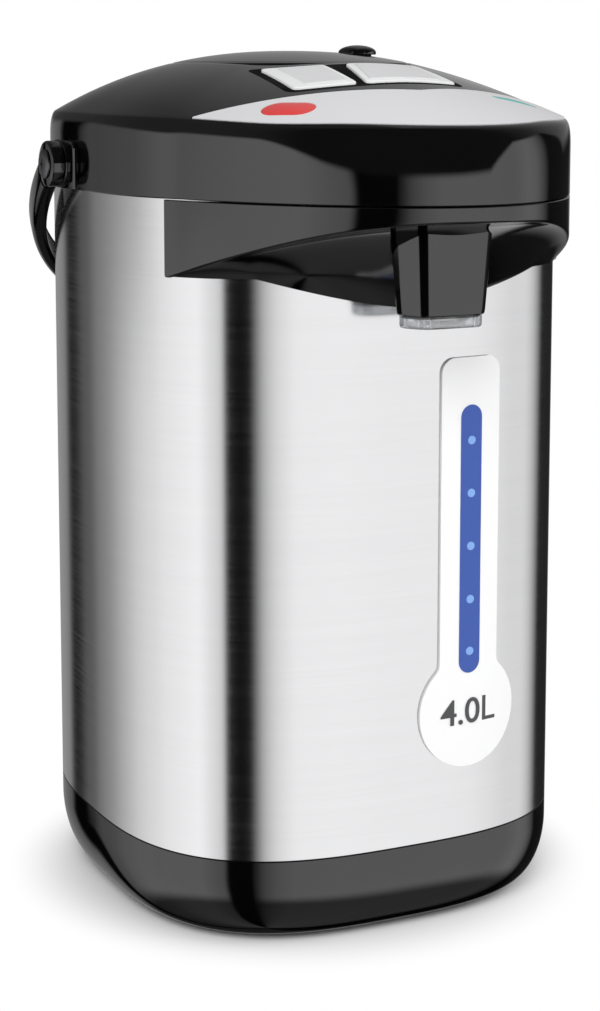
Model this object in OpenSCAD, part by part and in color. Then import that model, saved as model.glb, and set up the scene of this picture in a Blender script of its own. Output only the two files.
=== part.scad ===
// Electric thermo pot, about four litres, with an electric pump, a hinged lid and a carrying bail.
// Millimetres, +Z up. The origin is on the body's axis at the surface that the feet stand on.
// The spout points along -Y. Outlines are superellipses, and the dome, hood and base are lofts of them.

/* [Body] */
// Half width of the steel body
body_half_w = 96; // [90:0.5:100]
// Half depth of the steel body
body_half_d = 97.5; // [92:0.5:102]
// Squareness of the body's outline (2 is an ellipse)
body_n = 2.875; // [2.6:0.025:3.2]
// Height of the steel body's lower edge
steel_bottom = 36; // [34:0.5:38]
// Height of the steel body's upper edge
steel_top = 292; // [290:0.5:294]
// Thickness of the steel sheet
steel_wall = 1; // [0.8:0.1:1.2]

/* [Top] */
// How far the upper housing stands out of the steel
collar_step = 1.2; // [1:0.1:1.5]
// Reach of the beak in front of the body's axis
beak_reach = 151.6; // [148:0.2:154]
// Height of the rim where the dome starts, at the sides
rim_z = 321.5; // [320:0.1:323]
// How much lower the rim is at the tip of the beak
rim_dip = 3.3; // [2:0.1:4]
// Height of the top of the dome
dome_top = 347.6; // [346:0.1:349]
// Wall of the plastic housings
wall = 2.6; // [2.2:0.1:3]

/* [Lid] */
// Half width of the lid
lid_half_w = 47; // [46:0.5:49]
// Front edge of the lid
lid_front_y = -52; // [-53:0.5:-50]
// Rear edge of the lid
lid_rear_y = 78; // [77:0.5:79]
// Gap between the lid and the housing
lid_gap = 0.6; // [0.5:0.1:0.8]

/* [Controls] */
// Travel of the two buttons
button_travel = 2; // [1.5:0.1:2.2]
// How far the buttons stand proud of the deck
button_proud = 1.2; // [1:0.1:1.5]

/* [Handle] */
// Half width of the bail, to the middle of its band
bail_half_w = 103; // [102.8:0.1:103.4]
// Reach of the bail from its pivots
bail_reach = 129; // [126:1:131]
// Angle of the hanging bail behind straight down
bail_hang = 57.5; // [55:0.5:60]

/* [Tank] */
// Inside radius of the inner tank
tank_r = 76; // [74:0.5:77]
// Height of the tank's floor, underside
tank_floor = 62; // [60:1:64]

/* [Hidden] */

black = "#232325";
steel_colour = "silver";
label_colour = "#e9e9ea";
count = 96;              // corners of a prismatic outline
loft_count = 72;         // corners of a lofted outline
snug = 0.2;              // gap between pieces of one body that sit in each other
clear_gap = 0.4;         // gap round a moving piece

// ---- outlines ----
function signed_pow(v, e) = sign(v) * pow(abs(v), e);
function squircle(hx, hy, n = body_n, c = count) =
    [for (i = [0:c - 1]) let (a = 360 * i / c)
        [hx * signed_pow(cos(a), 2 / n), hy * signed_pow(sin(a), 2 / n)]];
function body_outline(grow = 0) = squircle(body_half_w + grow, body_half_d + grow);
function polar_r(a, hx, hy, n) = 1 / pow(pow(abs(cos(a)) / hx, n) + pow(abs(sin(a)) / hy, n), 1 / n);

beak_n = 1.87;           // exponent of the beak's outline
beak_half_w = 96.4;
beak_rear = 80;
beak_blend = 0.006;      // softness of the join of beak and body outline
function body_r(a, grow = 0) = polar_r(a, body_half_w + grow, body_half_d + grow, body_n);
function beak_r(a, grow = 0) =
    polar_r(a, beak_half_w + grow, (sin(a) < 0 ? beak_reach : beak_rear) + grow, beak_n);
function collar_r(a, grow = 0) =
    let (r1 = body_r(a, collar_step + grow), g = beak_r(a, grow) / r1)
    r1 * 0.5 * (1 + g + sqrt((g - 1) * (g - 1) + beak_blend * beak_blend));

// ---- dome of the upper housing ----
side_power = 2.4;        // how flat the dome's top is at the sides and rear
front_power = 1.7;       // and towards the spout
front_from = 0.3;
function ease(t) = let (u = max(0, min(1, t))) u * u * (3 - 2 * u);
function front_share(a) = ease((front_from - sin(a)) / (1 + front_from));
function dome_power(a) = side_power + (front_power - side_power) * front_share(a);
function rim_height(a) = rim_z - rim_dip * pow(max(0, -sin(a)), 4);
function dome_z(a, s) = dome_top - (dome_top - rim_height(a)) * pow(min(1, s), dome_power(a));
function deck_z(x, y) = let (a = atan2(y, x)) dome_z(a, norm([x, y]) / collar_r(a));

// ---- lofts: each ring is a list of points, all rings have the same count ----
function side_faces(c, rings) =
    [for (k = [0:rings - 2], i = [0:c - 1], h = [0, 1])
        let (a = k * c + i, b = k * c + (i + 1) % c, d = a + c, e = b + c)
        h == 0 ? [a, e, b] : [a, d, e]];
function cap(c, first, flip) = [for (i = [0:c - 1]) first + (flip ? c - 1 - i : i)];
function joined(lists) = [for (l = lists) each l];

module loft(rings) {
    c = len(rings[0]);
    m = len(rings);
    polyhedron(joined(rings), concat([cap(c, 0, false)], side_faces(c, m), [cap(c, (m - 1) * c, true)]), 6);
}

// Solid under the dome: the outline grown by `grow`, its top lowered by `drop`, flat at `floor_z`.
dome_rings = [1, 0.94, 0.86, 0.76, 0.64, 0.5, 0.36, 0.2];
module dome_solid(grow = 0, drop = 0, floor_z = steel_top) {
    angles = [for (i = [0:loft_count - 1]) 360 * i / loft_count];
    rings = concat([for (a = angles) let (r = collar_r(a, grow)) [r * cos(a), r * sin(a), floor_z]],
        [for (s = dome_rings, a = angles) let (r = s * collar_r(a, grow), q = r / collar_r(a))
            [r * cos(a), r * sin(a), dome_z(a, q) - drop]],
        [[0, 0, dome_top - drop]]);
    c = loft_count;
    m = len(dome_rings) + 1;
    apex = c * m;
    fan = [for (i = [0:c - 1]) [(m - 1) * c + i, apex, (m - 1) * c + (i + 1) % c]];
    polyhedron(rings, concat([cap(c, 0, false)], side_faces(c, m), fan), 6);
}

// Sheet over the box x, y that follows the deck from `low` to `high` above it, inside its children.
module deck_sheet(x, y, low, high, nx = 4, ny = 6) {
    w = nx + 1;
    layer = w * (ny + 1);
    points = [for (h = [high, low], j = [0:ny], i = [0:nx])
        let (px = x[0] + (x[1] - x[0]) * i / nx, py = y[0] + (y[1] - y[0]) * j / ny)
        [px, py, deck_z(px, py) + h]];
    cells = joined([for (j = [0:ny - 1], i = [0:nx - 1]) let (a = j * w + i, b = a + w, g = layer)
        [[a, b, b + 1], [a, b + 1, a + 1], [g + a, g + b + 1, g + b], [g + a, g + a + 1, g + b + 1]]]);
    rim = concat([for (i = [0:nx - 1]) i], [for (j = [0:ny - 1]) j * w + nx],
        [for (i = [nx:-1:1]) ny * w + i], [for (j = [ny:-1:1]) j * w]);
    c = len(rim);
    sides = joined([for (k = [0:c - 1]) let (a = rim[k], b = rim[(k + 1) % c])
        [[layer + a, a, b], [layer + a, b, layer + b]]]);
    intersection() {
        children();
        polyhedron(points, concat(cells, sides), 6);
    }
}

// ---- tube along a smooth path ----
function spline_point(p0, p1, p2, p3, t) =
    0.5 * (2 * p1 + (p2 - p0) * t + (2 * p0 - 5 * p1 + 4 * p2 - p3) * t * t
        + (3 * p1 - p0 - 3 * p2 + p3) * t * t * t);
function spline(p, steps = 5) =
    let (n = len(p))
    concat([for (i = [0:n - 2], k = [0:steps - 1])
        spline_point(p[max(0, i - 1)], p[i], p[i + 1], p[min(n - 1, i + 2)], k / steps)], [p[n - 1]]);
function unit(v) = v / norm(v);
function path_dir(p, i) = unit(p[min(len(p) - 1, i + 1)] - p[max(0, i - 1)]);
function across(d) = unit(cross(d, abs(d[2]) > 0.9 ? [1, 0.15, 0] : [0, 0.15, 1]));
function steady(p, i) = i == 0 ? across(path_dir(p, 0))
    : let (u = steady(p, i - 1), d = path_dir(p, i)) unit(u - d * (u * d));
function tube_ring(p, i, r, sides) =
    let (d = path_dir(p, i), u = steady(p, i), v = cross(d, u))
    [for (k = [0:sides - 1]) p[i] + r * (cos(-360 * k / sides) * u + sin(-360 * k / sides) * v)];
module tube(p, r, sides = 10) {
    loft([for (i = [0:len(p) - 1]) tube_ring(p, i, r, sides)]);
}

module prism(points, z0, z1) {
    translate([0, 0, z0]) linear_extrude(z1 - z0) polygon(points);
}
module ring_prism(outer, inner, z0, z1) {
    difference() {
        prism(outer, z0, z1);
        prism(inner, z0 - 1, z1 + 1);
    }
}
module post(x, y, r, z0, z1) {
    translate([x, y, z0]) cylinder(r = r, h = z1 - z0, $fn = 48);
}
module at_corners(x, y) {
    for (sx = [-1, 1], sy = [-1, 1]) translate([sx * x, sy * y, 0]) children();
}
module bar_x(x0, x1, r) {
    translate([x0, 0, 0]) rotate([0, 90, 0]) cylinder(r = r, h = x1 - x0, $fn = 64);
}

// ---- base ----
base_low = 2;            // underside of the base shell
base_round_z = 28;       // where the side starts to turn in
base_inset = 12;         // how far the lower edge is turned in
base_steps = 6;
cover_half = 80.4;       // half width of the bottom cover
ledge_half = 74;         // inner edge of the ledge that the cover screws to
cover_z = 2.2;
cover_top = 4.4;
lip_in = 1.2;            // step of the inner lip inside the steel
lip_wall = 2;
lip_h = 4;
inlet_z = 21;            // middle of the mains inlet
inlet_half_w = 13.5;
inlet_half_h = 9.5;
screw_at = 60.2;
foot_at = 50;
foot_r = 7;

function base_ring(z, inset) =
    [for (p = squircle(body_half_w - inset, body_half_d - inset, body_n, loft_count)) [p[0], p[1], z]];
function base_rings(inset, low, high) = concat([for (k = [base_steps:-1:0])
    let (t = 90 * k / base_steps)
    base_ring(base_round_z - (base_round_z - low) * sin(t), inset + base_inset * (1 - cos(t)))],
    [base_ring(high, inset)]);

module inlet_box(grow, y0, y1) {
    translate([-inlet_half_w - grow, y0, inlet_z - inlet_half_h - grow])
        cube([2 * (inlet_half_w + grow), y1 - y0, 2 * (inlet_half_h + grow)]);
}

module base_housing() {
    color(black) {
        difference() {
            loft(base_rings(0, base_low, steel_bottom));
            loft(base_rings(wall, base_low + wall + 1.8, steel_bottom + 1));
            prism(squircle(cover_half + snug, cover_half + snug + 1), 0, cover_top);
            prism(squircle(ledge_half, ledge_half + 1), 0, 12);
            inlet_box(0, 80, 110);
            at_corners(screw_at, screw_at) post(0, 0, 1.5, 0, 12);
        }
        ring_prism(body_outline(-lip_in), body_outline(-lip_in - lip_wall), steel_bottom - 3,
            steel_bottom + lip_h);
    }
}

module base_cover() {
    slot_pitch = 9;
    color(black) difference() {
        prism(squircle(cover_half, cover_half + 1), cover_z, cover_top);
        at_corners(screw_at, screw_at) post(0, 0, 1.7, 0, 8);
        for (i = [-3:3])
            translate([i * slot_pitch - 1.6, 10, 0]) cube([3.2, 34, 8]);
    }
}

module rubber_feet() {
    color("#303030") at_corners(foot_at, foot_at) post(0, 0, foot_r, 0, cover_z);
}

module base_screws() {
    color("#9a9ca0") at_corners(screw_at, screw_at) {
        post(0, 0, 3, 1, cover_z);
        post(0, 0, 1.5, cover_z, 5.2);
    }
}

inlet_face = 98.2;       // outer face of the inlet's flange
module power_inlet() {
    color("#1a1a1b") difference() {
        inlet_box(0, 78, inlet_face);
        inlet_box(-2, 81, 110);
        for (x = [-7, 0, 7])
            translate([x - 1, 70, inlet_z - 2.5]) cube([2, 20, 5]);
    }
}

module inlet_pins() {
    color("#c9b26a") for (x = [-7, 0, 7])
        translate([x - 1, 70, inlet_z - 2.5]) cube([2, 23, 5]);
}

// ---- steel body ----
gauge_x = 27.6;          // middle of the level gauge
window_z0 = 103.2;
window_z1 = 210.7;
window_half = 4.9;
module body_shell() {
    color(steel_colour) difference() {
        ring_prism(body_outline(), body_outline(-steel_wall), steel_bottom, steel_top);
        translate([gauge_x - window_half, -110, window_z0 + 4])
            cube([2 * window_half, 30, window_z1 - window_z0 - 8]);
    }
}

// ---- upper housing: collar, dome and filling neck in one moulding ----
lid_n = 2;
function lid_outline(grow, c = count) =
    let (mid = (lid_front_y + lid_rear_y) / 2, half = (lid_rear_y - lid_front_y) / 2)
    [for (p = squircle(lid_half_w + grow, half + grow, lid_n, c)) [p[0], p[1] + mid]];

neck_low = 300;          // seat of the filling neck
neck_wall = 2.4;
ledge_top = 304;         // what the lid's gasket lies on
mouth_in = 8;            // how far the ledge reaches into the neck
tank_y = 10;             // middle of the tank
rod_x = 64;
rod_rear_y = 70;
rod_front_y = -60;
pivot_y = 18;
pivot_z = 302;
pivot_boss_r = 9.2;
hinge_y = 84;
hinge_z = 331;
notch_half = 27.2;
notch_z = 319;
notch_y = lid_rear_y - 12.5; // front of the recess for the hinge
notch_d = 24.9;
board_z = 312;
board_t = 1.6;
board_posts = [[-54, -66], [48, -66], [-54, -80], [40, -88]];

// Button outlines: sectors between two arcs round the body's axis.
arc_rear = 58.5;
arc_front = 90.5;
function arc_y(x, r) = -sqrt(r * r - x * x);
function arc_points(x0, x1, r) =
    let (steps = 8) [for (i = [0:steps]) let (x = x0 + (x1 - x0) * i / steps) [x, arc_y(x, r)]];
function button_outline(xs, grow) = concat(
    arc_points(xs[2] - grow, xs[3] + grow, arc_front + grow),
    arc_points(xs[1] + grow, xs[0] - grow, arc_rear - grow));
unlock_x = [-38.5, -16.5, -41, -18.2];      // left and right at the rear, left and right at the front
dispense_x = [-8, 26.2, -14.8, 25.3];
unlock_mid = [-28.6, -71];
dispense_mid = [8.5, -75];

red_lens = [-52, -99];
teal_lens = [44, -99.5];
module pill(p, half_l, r, turn, z0, z1) {
    translate([p[0], p[1], z0]) rotate([0, 0, turn]) linear_extrude(z1 - z0) union() {
        square([2 * half_l, 2 * r], center = true);
        for (s = [-1, 1]) translate([s * half_l, 0]) circle(r = r, $fn = 48);
    }
}
module red_pill(z0, z1) {
    pill(red_lens, 4.2, 6.2, -46, z0, z1);
}
module teal_pill(z0, z1) {
    pill(teal_lens, 9, 1.8, 9, z0, z1);
}

// Flat pads on the collar's sides that the bail's pivots stand on.
pad_front = 6;
pad_rear = 30;
pad_top = 311.4;
pad_face = 98.2;
module pivot_pads() {
    r = 3;
    for (s = [0, 1]) mirror([s, 0, 0]) rotate([90, 0, 90]) translate([0, 0, 91])
        linear_extrude(pad_face - 91) union() {
            translate([pad_front, steel_top]) square([pad_rear - pad_front, pad_top - steel_top - r]);
            translate([pad_front + r, steel_top]) square([pad_rear - pad_front - 2 * r, pad_top - steel_top]);
            for (y = [pad_front + r, pad_rear - r]) translate([y, pad_top - r]) circle(r = r, $fn = 32);
        }
}

// The lid opened by an angle; its rear edge swings back through the housing's rim.
lid_skirt_z = 328;
module lid_turned(angle) {
    translate([0, hinge_y, hinge_z]) rotate([-angle, 0, 0]) translate([0, -hinge_y, -hinge_z]) children();
}

module under_dome(inset = 1) {
    intersection() {
        children();
        dome_solid(-inset, inset, steel_top - 8);
    }
}

module upper_housing() {
    color(black) difference() {
        union() {
            difference() {
                dome_solid();
                dome_solid(-wall, wall, steel_top - 1);
            }
            under_dome() union() {
                ring_prism(lid_outline(lid_gap + neck_wall), lid_outline(lid_gap), ledge_top, dome_top);
                for (s = [-1, 1], y = [rod_rear_y, rod_front_y])
                    post(s * rod_x, y, 4.5, steel_top + 2, dome_top);
                for (p = board_posts)
                    post(p[0], p[1], 3, board_z + board_t, dome_top);
            }
        }
        prism(lid_outline(lid_gap), ledge_top, 360);
        for (turn = [8, 15, 22]) lid_turned(turn) prism(lid_outline(lid_gap), lid_skirt_z, 350);
        prism(button_outline(unlock_x, clear_gap), 318, 360);
        prism(button_outline(dispense_x, clear_gap), 318, 360);
        red_pill(316, 360);
        teal_pill(316, 360);
        translate([-notch_half, notch_y, notch_z]) cube([2 * notch_half, notch_d, 30]);
        for (s = [-1, 1], y = [rod_rear_y, rod_front_y])
            post(s * rod_x, y, 2, steel_top, 306);
        for (p = board_posts)
            post(p[0], p[1], 1, board_z, 322);
        pivot_pads();
    }
}

// ---- filling neck: the ledge under the lid and the flange that presses on the tank's seal ----
module filling_neck() {
    color(black) union() {
        ring_prism(lid_outline(lid_gap + neck_wall), lid_outline(-mouth_in), neck_low, ledge_top);
        difference() {
            post(0, tank_y, tank_r + 4, neck_low - 2, neck_low);
            prism(lid_outline(-mouth_in), neck_low - 4, neck_low + 4);
        }
    }
}

// ---- spout hood: the lower half of the beak ----
hood_from = -144;        // polar angles of the hood's rear edges
hood_to = -36;
hood_steps = 36;
hood_top = 291.6;
lip_top = 285.6;
lip_drop = 23.1;
lip_half = 86;
lip_power = 2.9;
seat_side = 262.5;       // where the hood's underside meets the steel, at its sides
seat_drop = 12.5;
seat_half = 60;
seat_power = 1.4;
cove_power = 1.7;
cove_steps = 7;
hood_skin = 2.4;
function lip_z(x) = lip_top - lip_drop * pow(min(1, abs(x) / lip_half), lip_power);
function seat_z(x) = seat_side - seat_drop * (1 - pow(min(1, abs(x) / seat_half), seat_power));
function hood_section(a, skin, inner_in, top) =
    let (ro = collar_r(a) - skin, ri = body_r(a) + 0.3 + inner_in,
        zl = lip_z(collar_r(a) * cos(a)), zs = min(zl - 0.4, seat_z(body_r(a) * cos(a))),
        dir = [cos(a), sin(a)])
    concat([[dir[0] * ro, dir[1] * ro, top]],
        [for (k = [0:cove_steps])
            let (t = k / cove_steps, r = ro + (ri - ro) * t,
                z = zl - (zl - zs) * pow(t, cove_power) + skin * 1.2)
            [dir[0] * r, dir[1] * r, z]],
        [[dir[0] * ri, dir[1] * ri, top]]);
module hood_solid(from, to, skin, inner_in, top) {
    loft([for (i = [0:hood_steps]) hood_section(from + (to - from) * i / hood_steps, skin, inner_in, top)]);
}

nozzle_y = -122;
nozzle_top = 284;
nozzle_low = 250;
module nozzle_block() {
    hull() {
        translate([0, nozzle_y, 281]) linear_extrude(nozzle_top - 281) nozzle_plan(19.8, 12.1);
        translate([0, nozzle_y, nozzle_low]) linear_extrude(1) nozzle_plan(17.4, 10.4);
    }
}
nozzle_corners = [[0.62, -1], [0.79, -0.8], [1, -0.15], [1, 0.3], [0.8, 0.85], [0.62, 1]];
module nozzle_plan(hx, hy) {
    last = len(nozzle_corners) - 1;
    polygon(concat([for (p = nozzle_corners) [hx * p[0], hy * p[1]]],
        [for (k = [last:-1:0]) [-hx * nozzle_corners[k][0], hy * nozzle_corners[k][1]]]));
}

module spout_hood() {
    color(black) difference() {
        hood_solid(hood_from, hood_to, 0, 0, hood_top);
        hood_solid(-90 - 41.3, -90 + 41.3, hood_skin, 1.6, hood_top + 1);
        nozzle_block();
    }
    for (a = [-125, -90, -55]) let (r = collar_r(a) - 1.25)
        color(black) post(r * cos(a), r * sin(a), 0.9, hood_top - 1, steel_top);
}

spigot_r = 4.6;          // pipe that the outlet hose is pushed over
spigot_top = 291;
module spout_nozzle() {
    color(black) difference() {
        union() {
            nozzle_block();
            post(0, nozzle_y, spigot_r, nozzle_top - 1, spigot_top);
        }
        post(0, nozzle_y, 3.6, nozzle_low - 1, spigot_top + 1);
    }
}

module outlet_tip() {
    color("#dfe6e8") difference() {
        translate([0, nozzle_y, nozzle_low - 4.4]) linear_extrude(4.4) nozzle_plan(16.4, 9.4);
        post(0, nozzle_y, 5.4, nozzle_low - 6, nozzle_low + 1);
    }
}

// ---- label, lamps and gauge ----
label_tip_x = 79;
label_mid_y = -104;
label_rise = 31;
function label_y(x) = label_mid_y + label_rise * pow(abs(x) / label_tip_x, 1.2);
label_steps = 24;
label_inset = 1.2;
function label_outline() = concat(
    [for (i = [0:label_steps]) let (x = label_tip_x * (2 * i / label_steps - 1)) [x, label_y(x)]],
    [for (i = [0:2 * label_steps])
        let (a0 = atan2(label_y(label_tip_x), label_tip_x), a = a0 + (-180 - 2 * a0) * i / (2 * label_steps),
            r = collar_r(a, -label_inset)) [r * cos(a), r * sin(a)]]);
module control_label() {
    color(label_colour) difference() {
        deck_sheet([-81, 81], [-152.5, -70], -0.2, 0.5, 20, 9) prism(label_outline(), 300, 360);
        red_pill(310, 360);
        teal_pill(310, 360);
    }
}

module boil_lamp_lens() {
    color("#c9342f") deck_sheet([-64, -40], [-111, -87], -wall, 1) red_pill(312, 360);
}
module warm_lamp_lens() {
    color("#4fa39b") deck_sheet([32, 56], [-104, -95], -wall, 0.9) teal_pill(312, 360);
}

stem_half = 13.7;
stem_top = 229.5;
dial_z = 87.7;
dial_r = 22.6;
module gauge_shape() {
    rotate([90, 0, 0]) linear_extrude(120) union() {
        translate([gauge_x, dial_z]) circle(r = dial_r, $fn = 96);
        translate([gauge_x - stem_half, dial_z]) square([2 * stem_half, stem_top - dial_z - 6]);
        translate([gauge_x - stem_half + 6, dial_z]) square([2 * stem_half - 12, stem_top - dial_z]);
        for (s = [-1, 1]) translate([gauge_x + s * (stem_half - 6), stem_top - 6]) circle(r = 6, $fn = 48);
    }
}
module window_shape() {
    r = window_half;
    rotate([90, 0, 0]) linear_extrude(120) union() {
        translate([gauge_x - r, window_z0 + window_half])
            square([2 * r, window_z1 - window_z0 - 2 * window_half]);
        for (z = [window_z0 + window_half, window_z1 - window_half])
            translate([gauge_x, z]) circle(r = r, $fn = 48);
    }
}
module gauge_panel() {
    color("white") difference() {
        intersection() {
            ring_prism(body_outline(1.1), body_outline(), 60, 235);
            gauge_shape();
        }
        window_shape();
    }
}
module gauge_window() {
    color("#3f62b8") intersection() {
        ring_prism(body_outline(1.3), body_outline(), 60, 235);
        window_shape();
    }
}
tube_y = -84;
module level_tube() {
    color("#cfe0ee") difference() {
        post(gauge_x, tube_y, 5, 56, 300);
        post(gauge_x, tube_y, 3.8, 55, 301);
    }
}

// ---- tank, heater and frame ----
tank_rim = 296;
plate_z = steel_bottom + lip_h;
plate_t = 2.5;
module tank_support() {
    color("#b9bbbd") difference() {
        union() {
            prism(body_outline(-2.2), plate_z, plate_z + plate_t);
            post(0, tank_y, 69, plate_z, tank_floor);
        }
        post(0, tank_y, 66.5, plate_z + plate_t, tank_floor + 1);
        post(0, tank_y, 52, plate_z - 1, plate_z + plate_t + 1);
        post(0, -56, 9, plate_z - 1, 60);
        hull() for (d = [0, 5])
            post(gauge_x + 1 + 0.4 * d, tube_y + d, 7.6, plate_z - 1, plate_z + plate_t + 1);
        for (s = [-1, 1], y = [rod_rear_y, rod_front_y])
            post(s * rod_x, y, 2, plate_z - 1, plate_z + plate_t + 1);
    }
}
outlet_y = -50;
module inner_tank() {
    color("#c8cacc") difference() {
        union() {
            post(0, tank_y, tank_r + 1, tank_floor, tank_rim);
            post(0, tank_y, tank_r + 3, tank_rim - 1.2, tank_rim);
            post(0, outlet_y, 5, tank_floor - 8, tank_floor + 1);
        }
        post(0, tank_y, tank_r, tank_floor + 1, tank_rim + 1);
        post(0, outlet_y, 3.8, tank_floor - 9, tank_floor + 2);
    }
}
module tank_seal() {
    color("#d8d5cf") difference() {
        post(0, tank_y, tank_r + 3, tank_rim, neck_low - 2);
        post(0, tank_y, tank_r - 1.5, tank_rim - 1, neck_low);
    }
}
module tie_rods() {
    color("#a8aaae") for (s = [-1, 1], y = [rod_rear_y, rod_front_y]) {
        post(s * rod_x, y, 3.5, plate_z - 3, plate_z);
        post(s * rod_x, y, 2, plate_z, 305);
    }
}
heater_r = 46;
heater_t = 5;
module heater_plate() {
    color("#8f8a80") {
        post(0, tank_y, heater_r, tank_floor - 3, tank_floor);
        translate([0, tank_y, tank_floor - heater_t + 0.5]) rotate_extrude($fn = 96)
            translate([34, 0]) circle(r = 2, $fn = 24);
    }
}
module thermostats() {
    color("#d9cfae") for (x = [-16, 16]) {
        post(x, tank_y, 8, tank_floor - 10, tank_floor - 3);
        post(x, tank_y, 3, tank_floor - 14, tank_floor - 10);
    }
}
module thermal_fuse() {
    color("#b8b0a0") translate([0, tank_y - 14, tank_floor - 4.9]) {
        bar_x(-8, 8, 2);
        bar_x(-14, 14, 0.6);
    }
}

// ---- pump ----
pump_x = 0;
pump_y = -58;
motor_r = 15;
motor_low = cover_top;
motor_high = 24;
pump_high = 38;
shaft_r = 1.5;
bearing_gap = 0.05;
port_r = 3.6;            // outside of the pump's two pipes
module pump_motor() {
    color("#a5a7aa") difference() {
        post(pump_x, pump_y, motor_r, motor_low, motor_high);
        post(pump_x, pump_y, 11, motor_low + 2, motor_high - 2);
        post(pump_x, pump_y, shaft_r + bearing_gap, motor_low + 1, motor_high + 1);
    }
}
module pump_housing() {
    color("#e6e4de") difference() {
        union() {
            post(pump_x, pump_y, 17, motor_high, pump_high);
            post(pump_x, pump_y, port_r, pump_high - 1, pump_high + 6);
            translate([12, pump_y - 10, 31]) bar_x(0, 14, port_r);
        }
        post(pump_x, pump_y, 14.6, motor_high + 2, pump_high - 2);
        post(pump_x, pump_y, 2.4, pump_high - 3, pump_high + 7);
        post(pump_x, pump_y, shaft_r + bearing_gap, motor_high - 1, motor_high + 3);
        translate([8, pump_y - 10, 31]) bar_x(0, 20, 2.4);
    }
}
module motor_rotor() {
    color("#7c7e82") {
        post(pump_x, pump_y, shaft_r, motor_low + 1.2, motor_high + 8);
        difference() {
            post(pump_x, pump_y, 9.6, motor_low + 3, motor_high - 3);
            post(pump_x, pump_y, shaft_r, motor_low + 2, motor_high - 2);
        }
    }
}
module pump_impeller() {
    blade_count = 6;
    low = motor_high + 3;
    color("#d0d4d8") difference() {
        union() {
            post(pump_x, pump_y, 12.8, low, low + 1.6);
            post(pump_x, pump_y, 3.4, low, low + 6);
            for (i = [0:blade_count - 1])
                translate([pump_x, pump_y, low + 1]) rotate([0, 0, 360 * i / blade_count])
                    translate([2.6, -0.6, 0]) cube([9.8, 1.2, 5]);
        }
        post(pump_x, pump_y, shaft_r, low - 1, motor_high + 8);
    }
}

// ---- hoses ----
inlet_path = spline([[0, outlet_y, tank_floor - 2.5], [0, outlet_y, tank_floor - 9], [0, -54, 47.5],
    [pump_x, pump_y, 43], [pump_x, pump_y, pump_high + 0.4]]);
riser_path = spline([[14.5, pump_y - 10, 31], [24, pump_y - 10, 31], [gauge_x + 3, -74, 34],
    [gauge_x + 1, tube_y, 45], [gauge_x, tube_y, 56], [gauge_x, tube_y, 63]]);
outlet_path = spline([[gauge_x, tube_y, 289], [gauge_x, tube_y, 299], [gauge_x - 4, -93, 304.5],
    [10, -111, 304.5], [1, -120.5, 300], [0, nozzle_y, 292], [0, nozzle_y, nozzle_top + 0.2]]);
hose_r = 6.2;
module inlet_hose() {
    color("#dcd8cf") difference() {
        tube(inlet_path, hose_r, 12);
        post(0, outlet_y, 5, tank_floor - 8, tank_floor);
        post(pump_x, pump_y, port_r, pump_high, pump_high + 6);
        hose_clips();
    }
}
module riser_hose() {
    color("#dcd8cf") difference() {
        tube(riser_path, hose_r, 12);
        post(gauge_x, tube_y, 5, 56, 70);
        post(pump_x, pump_y, 17, motor_high, pump_high);
        translate([12, pump_y - 10, 31]) bar_x(0, 14, port_r);
        hose_clips();
    }
}
module outlet_hose() {
    color("#dcd8cf") difference() {
        tube(outlet_path, hose_r, 12);
        post(0, nozzle_y, spigot_r, 280, spigot_top);
        post(gauge_x, tube_y, 5, 280, 300);
    }
}
module clip(x, y, r, z) {
    difference() {
        post(x, y, r + 1, z, z + 4);
        post(x, y, r, z - 1, z + 5);
    }
}
module hose_clips() {
    color("#b5b7ba") {
        clip(gauge_x, tube_y, hose_r, 58.4);
        clip(0, outlet_y, hose_r, 55);
    }
}

// ---- electronics under the deck ----
module control_board() {
    color("#2e6b46") difference() {
        translate([-59, -97, board_z]) cube([113, 36, board_t]);
        for (p = board_posts)
            post(p[0], p[1], 1.1, board_z - 1, board_z + board_t + 1);
    }
}
switch_top = 318;
module button_switches() {
    color("#2b2b2d") for (p = [unlock_mid, dispense_mid]) {
        translate([p[0] - 3, p[1] - 3, board_z + board_t]) cube([6, 6, 3]);
        post(p[0], p[1], 1.7, board_z + board_t + 3, switch_top);
    }
}
module indicator_leds() {
    led_r = 2.4;
    color("#f0eee6") for (p = [[red_lens[0] + 1, red_lens[1] + 6], [teal_lens[0] + 3, teal_lens[1] + 5.5]]) {
        post(p[0], p[1], led_r, board_z + board_t, 317);
        translate([p[0], p[1], 317]) intersection() {
            sphere(r = led_r, $fn = 32);
            translate([-3, -3, 0]) cube([6, 6, 3]);
        }
    }
}
module board_screws() {
    color("#9a9ca0") for (p = board_posts) {
        post(p[0], p[1], 2.4, board_z - 1.6, board_z);
        post(p[0], p[1], 1, board_z, 320);
    }
}

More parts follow.
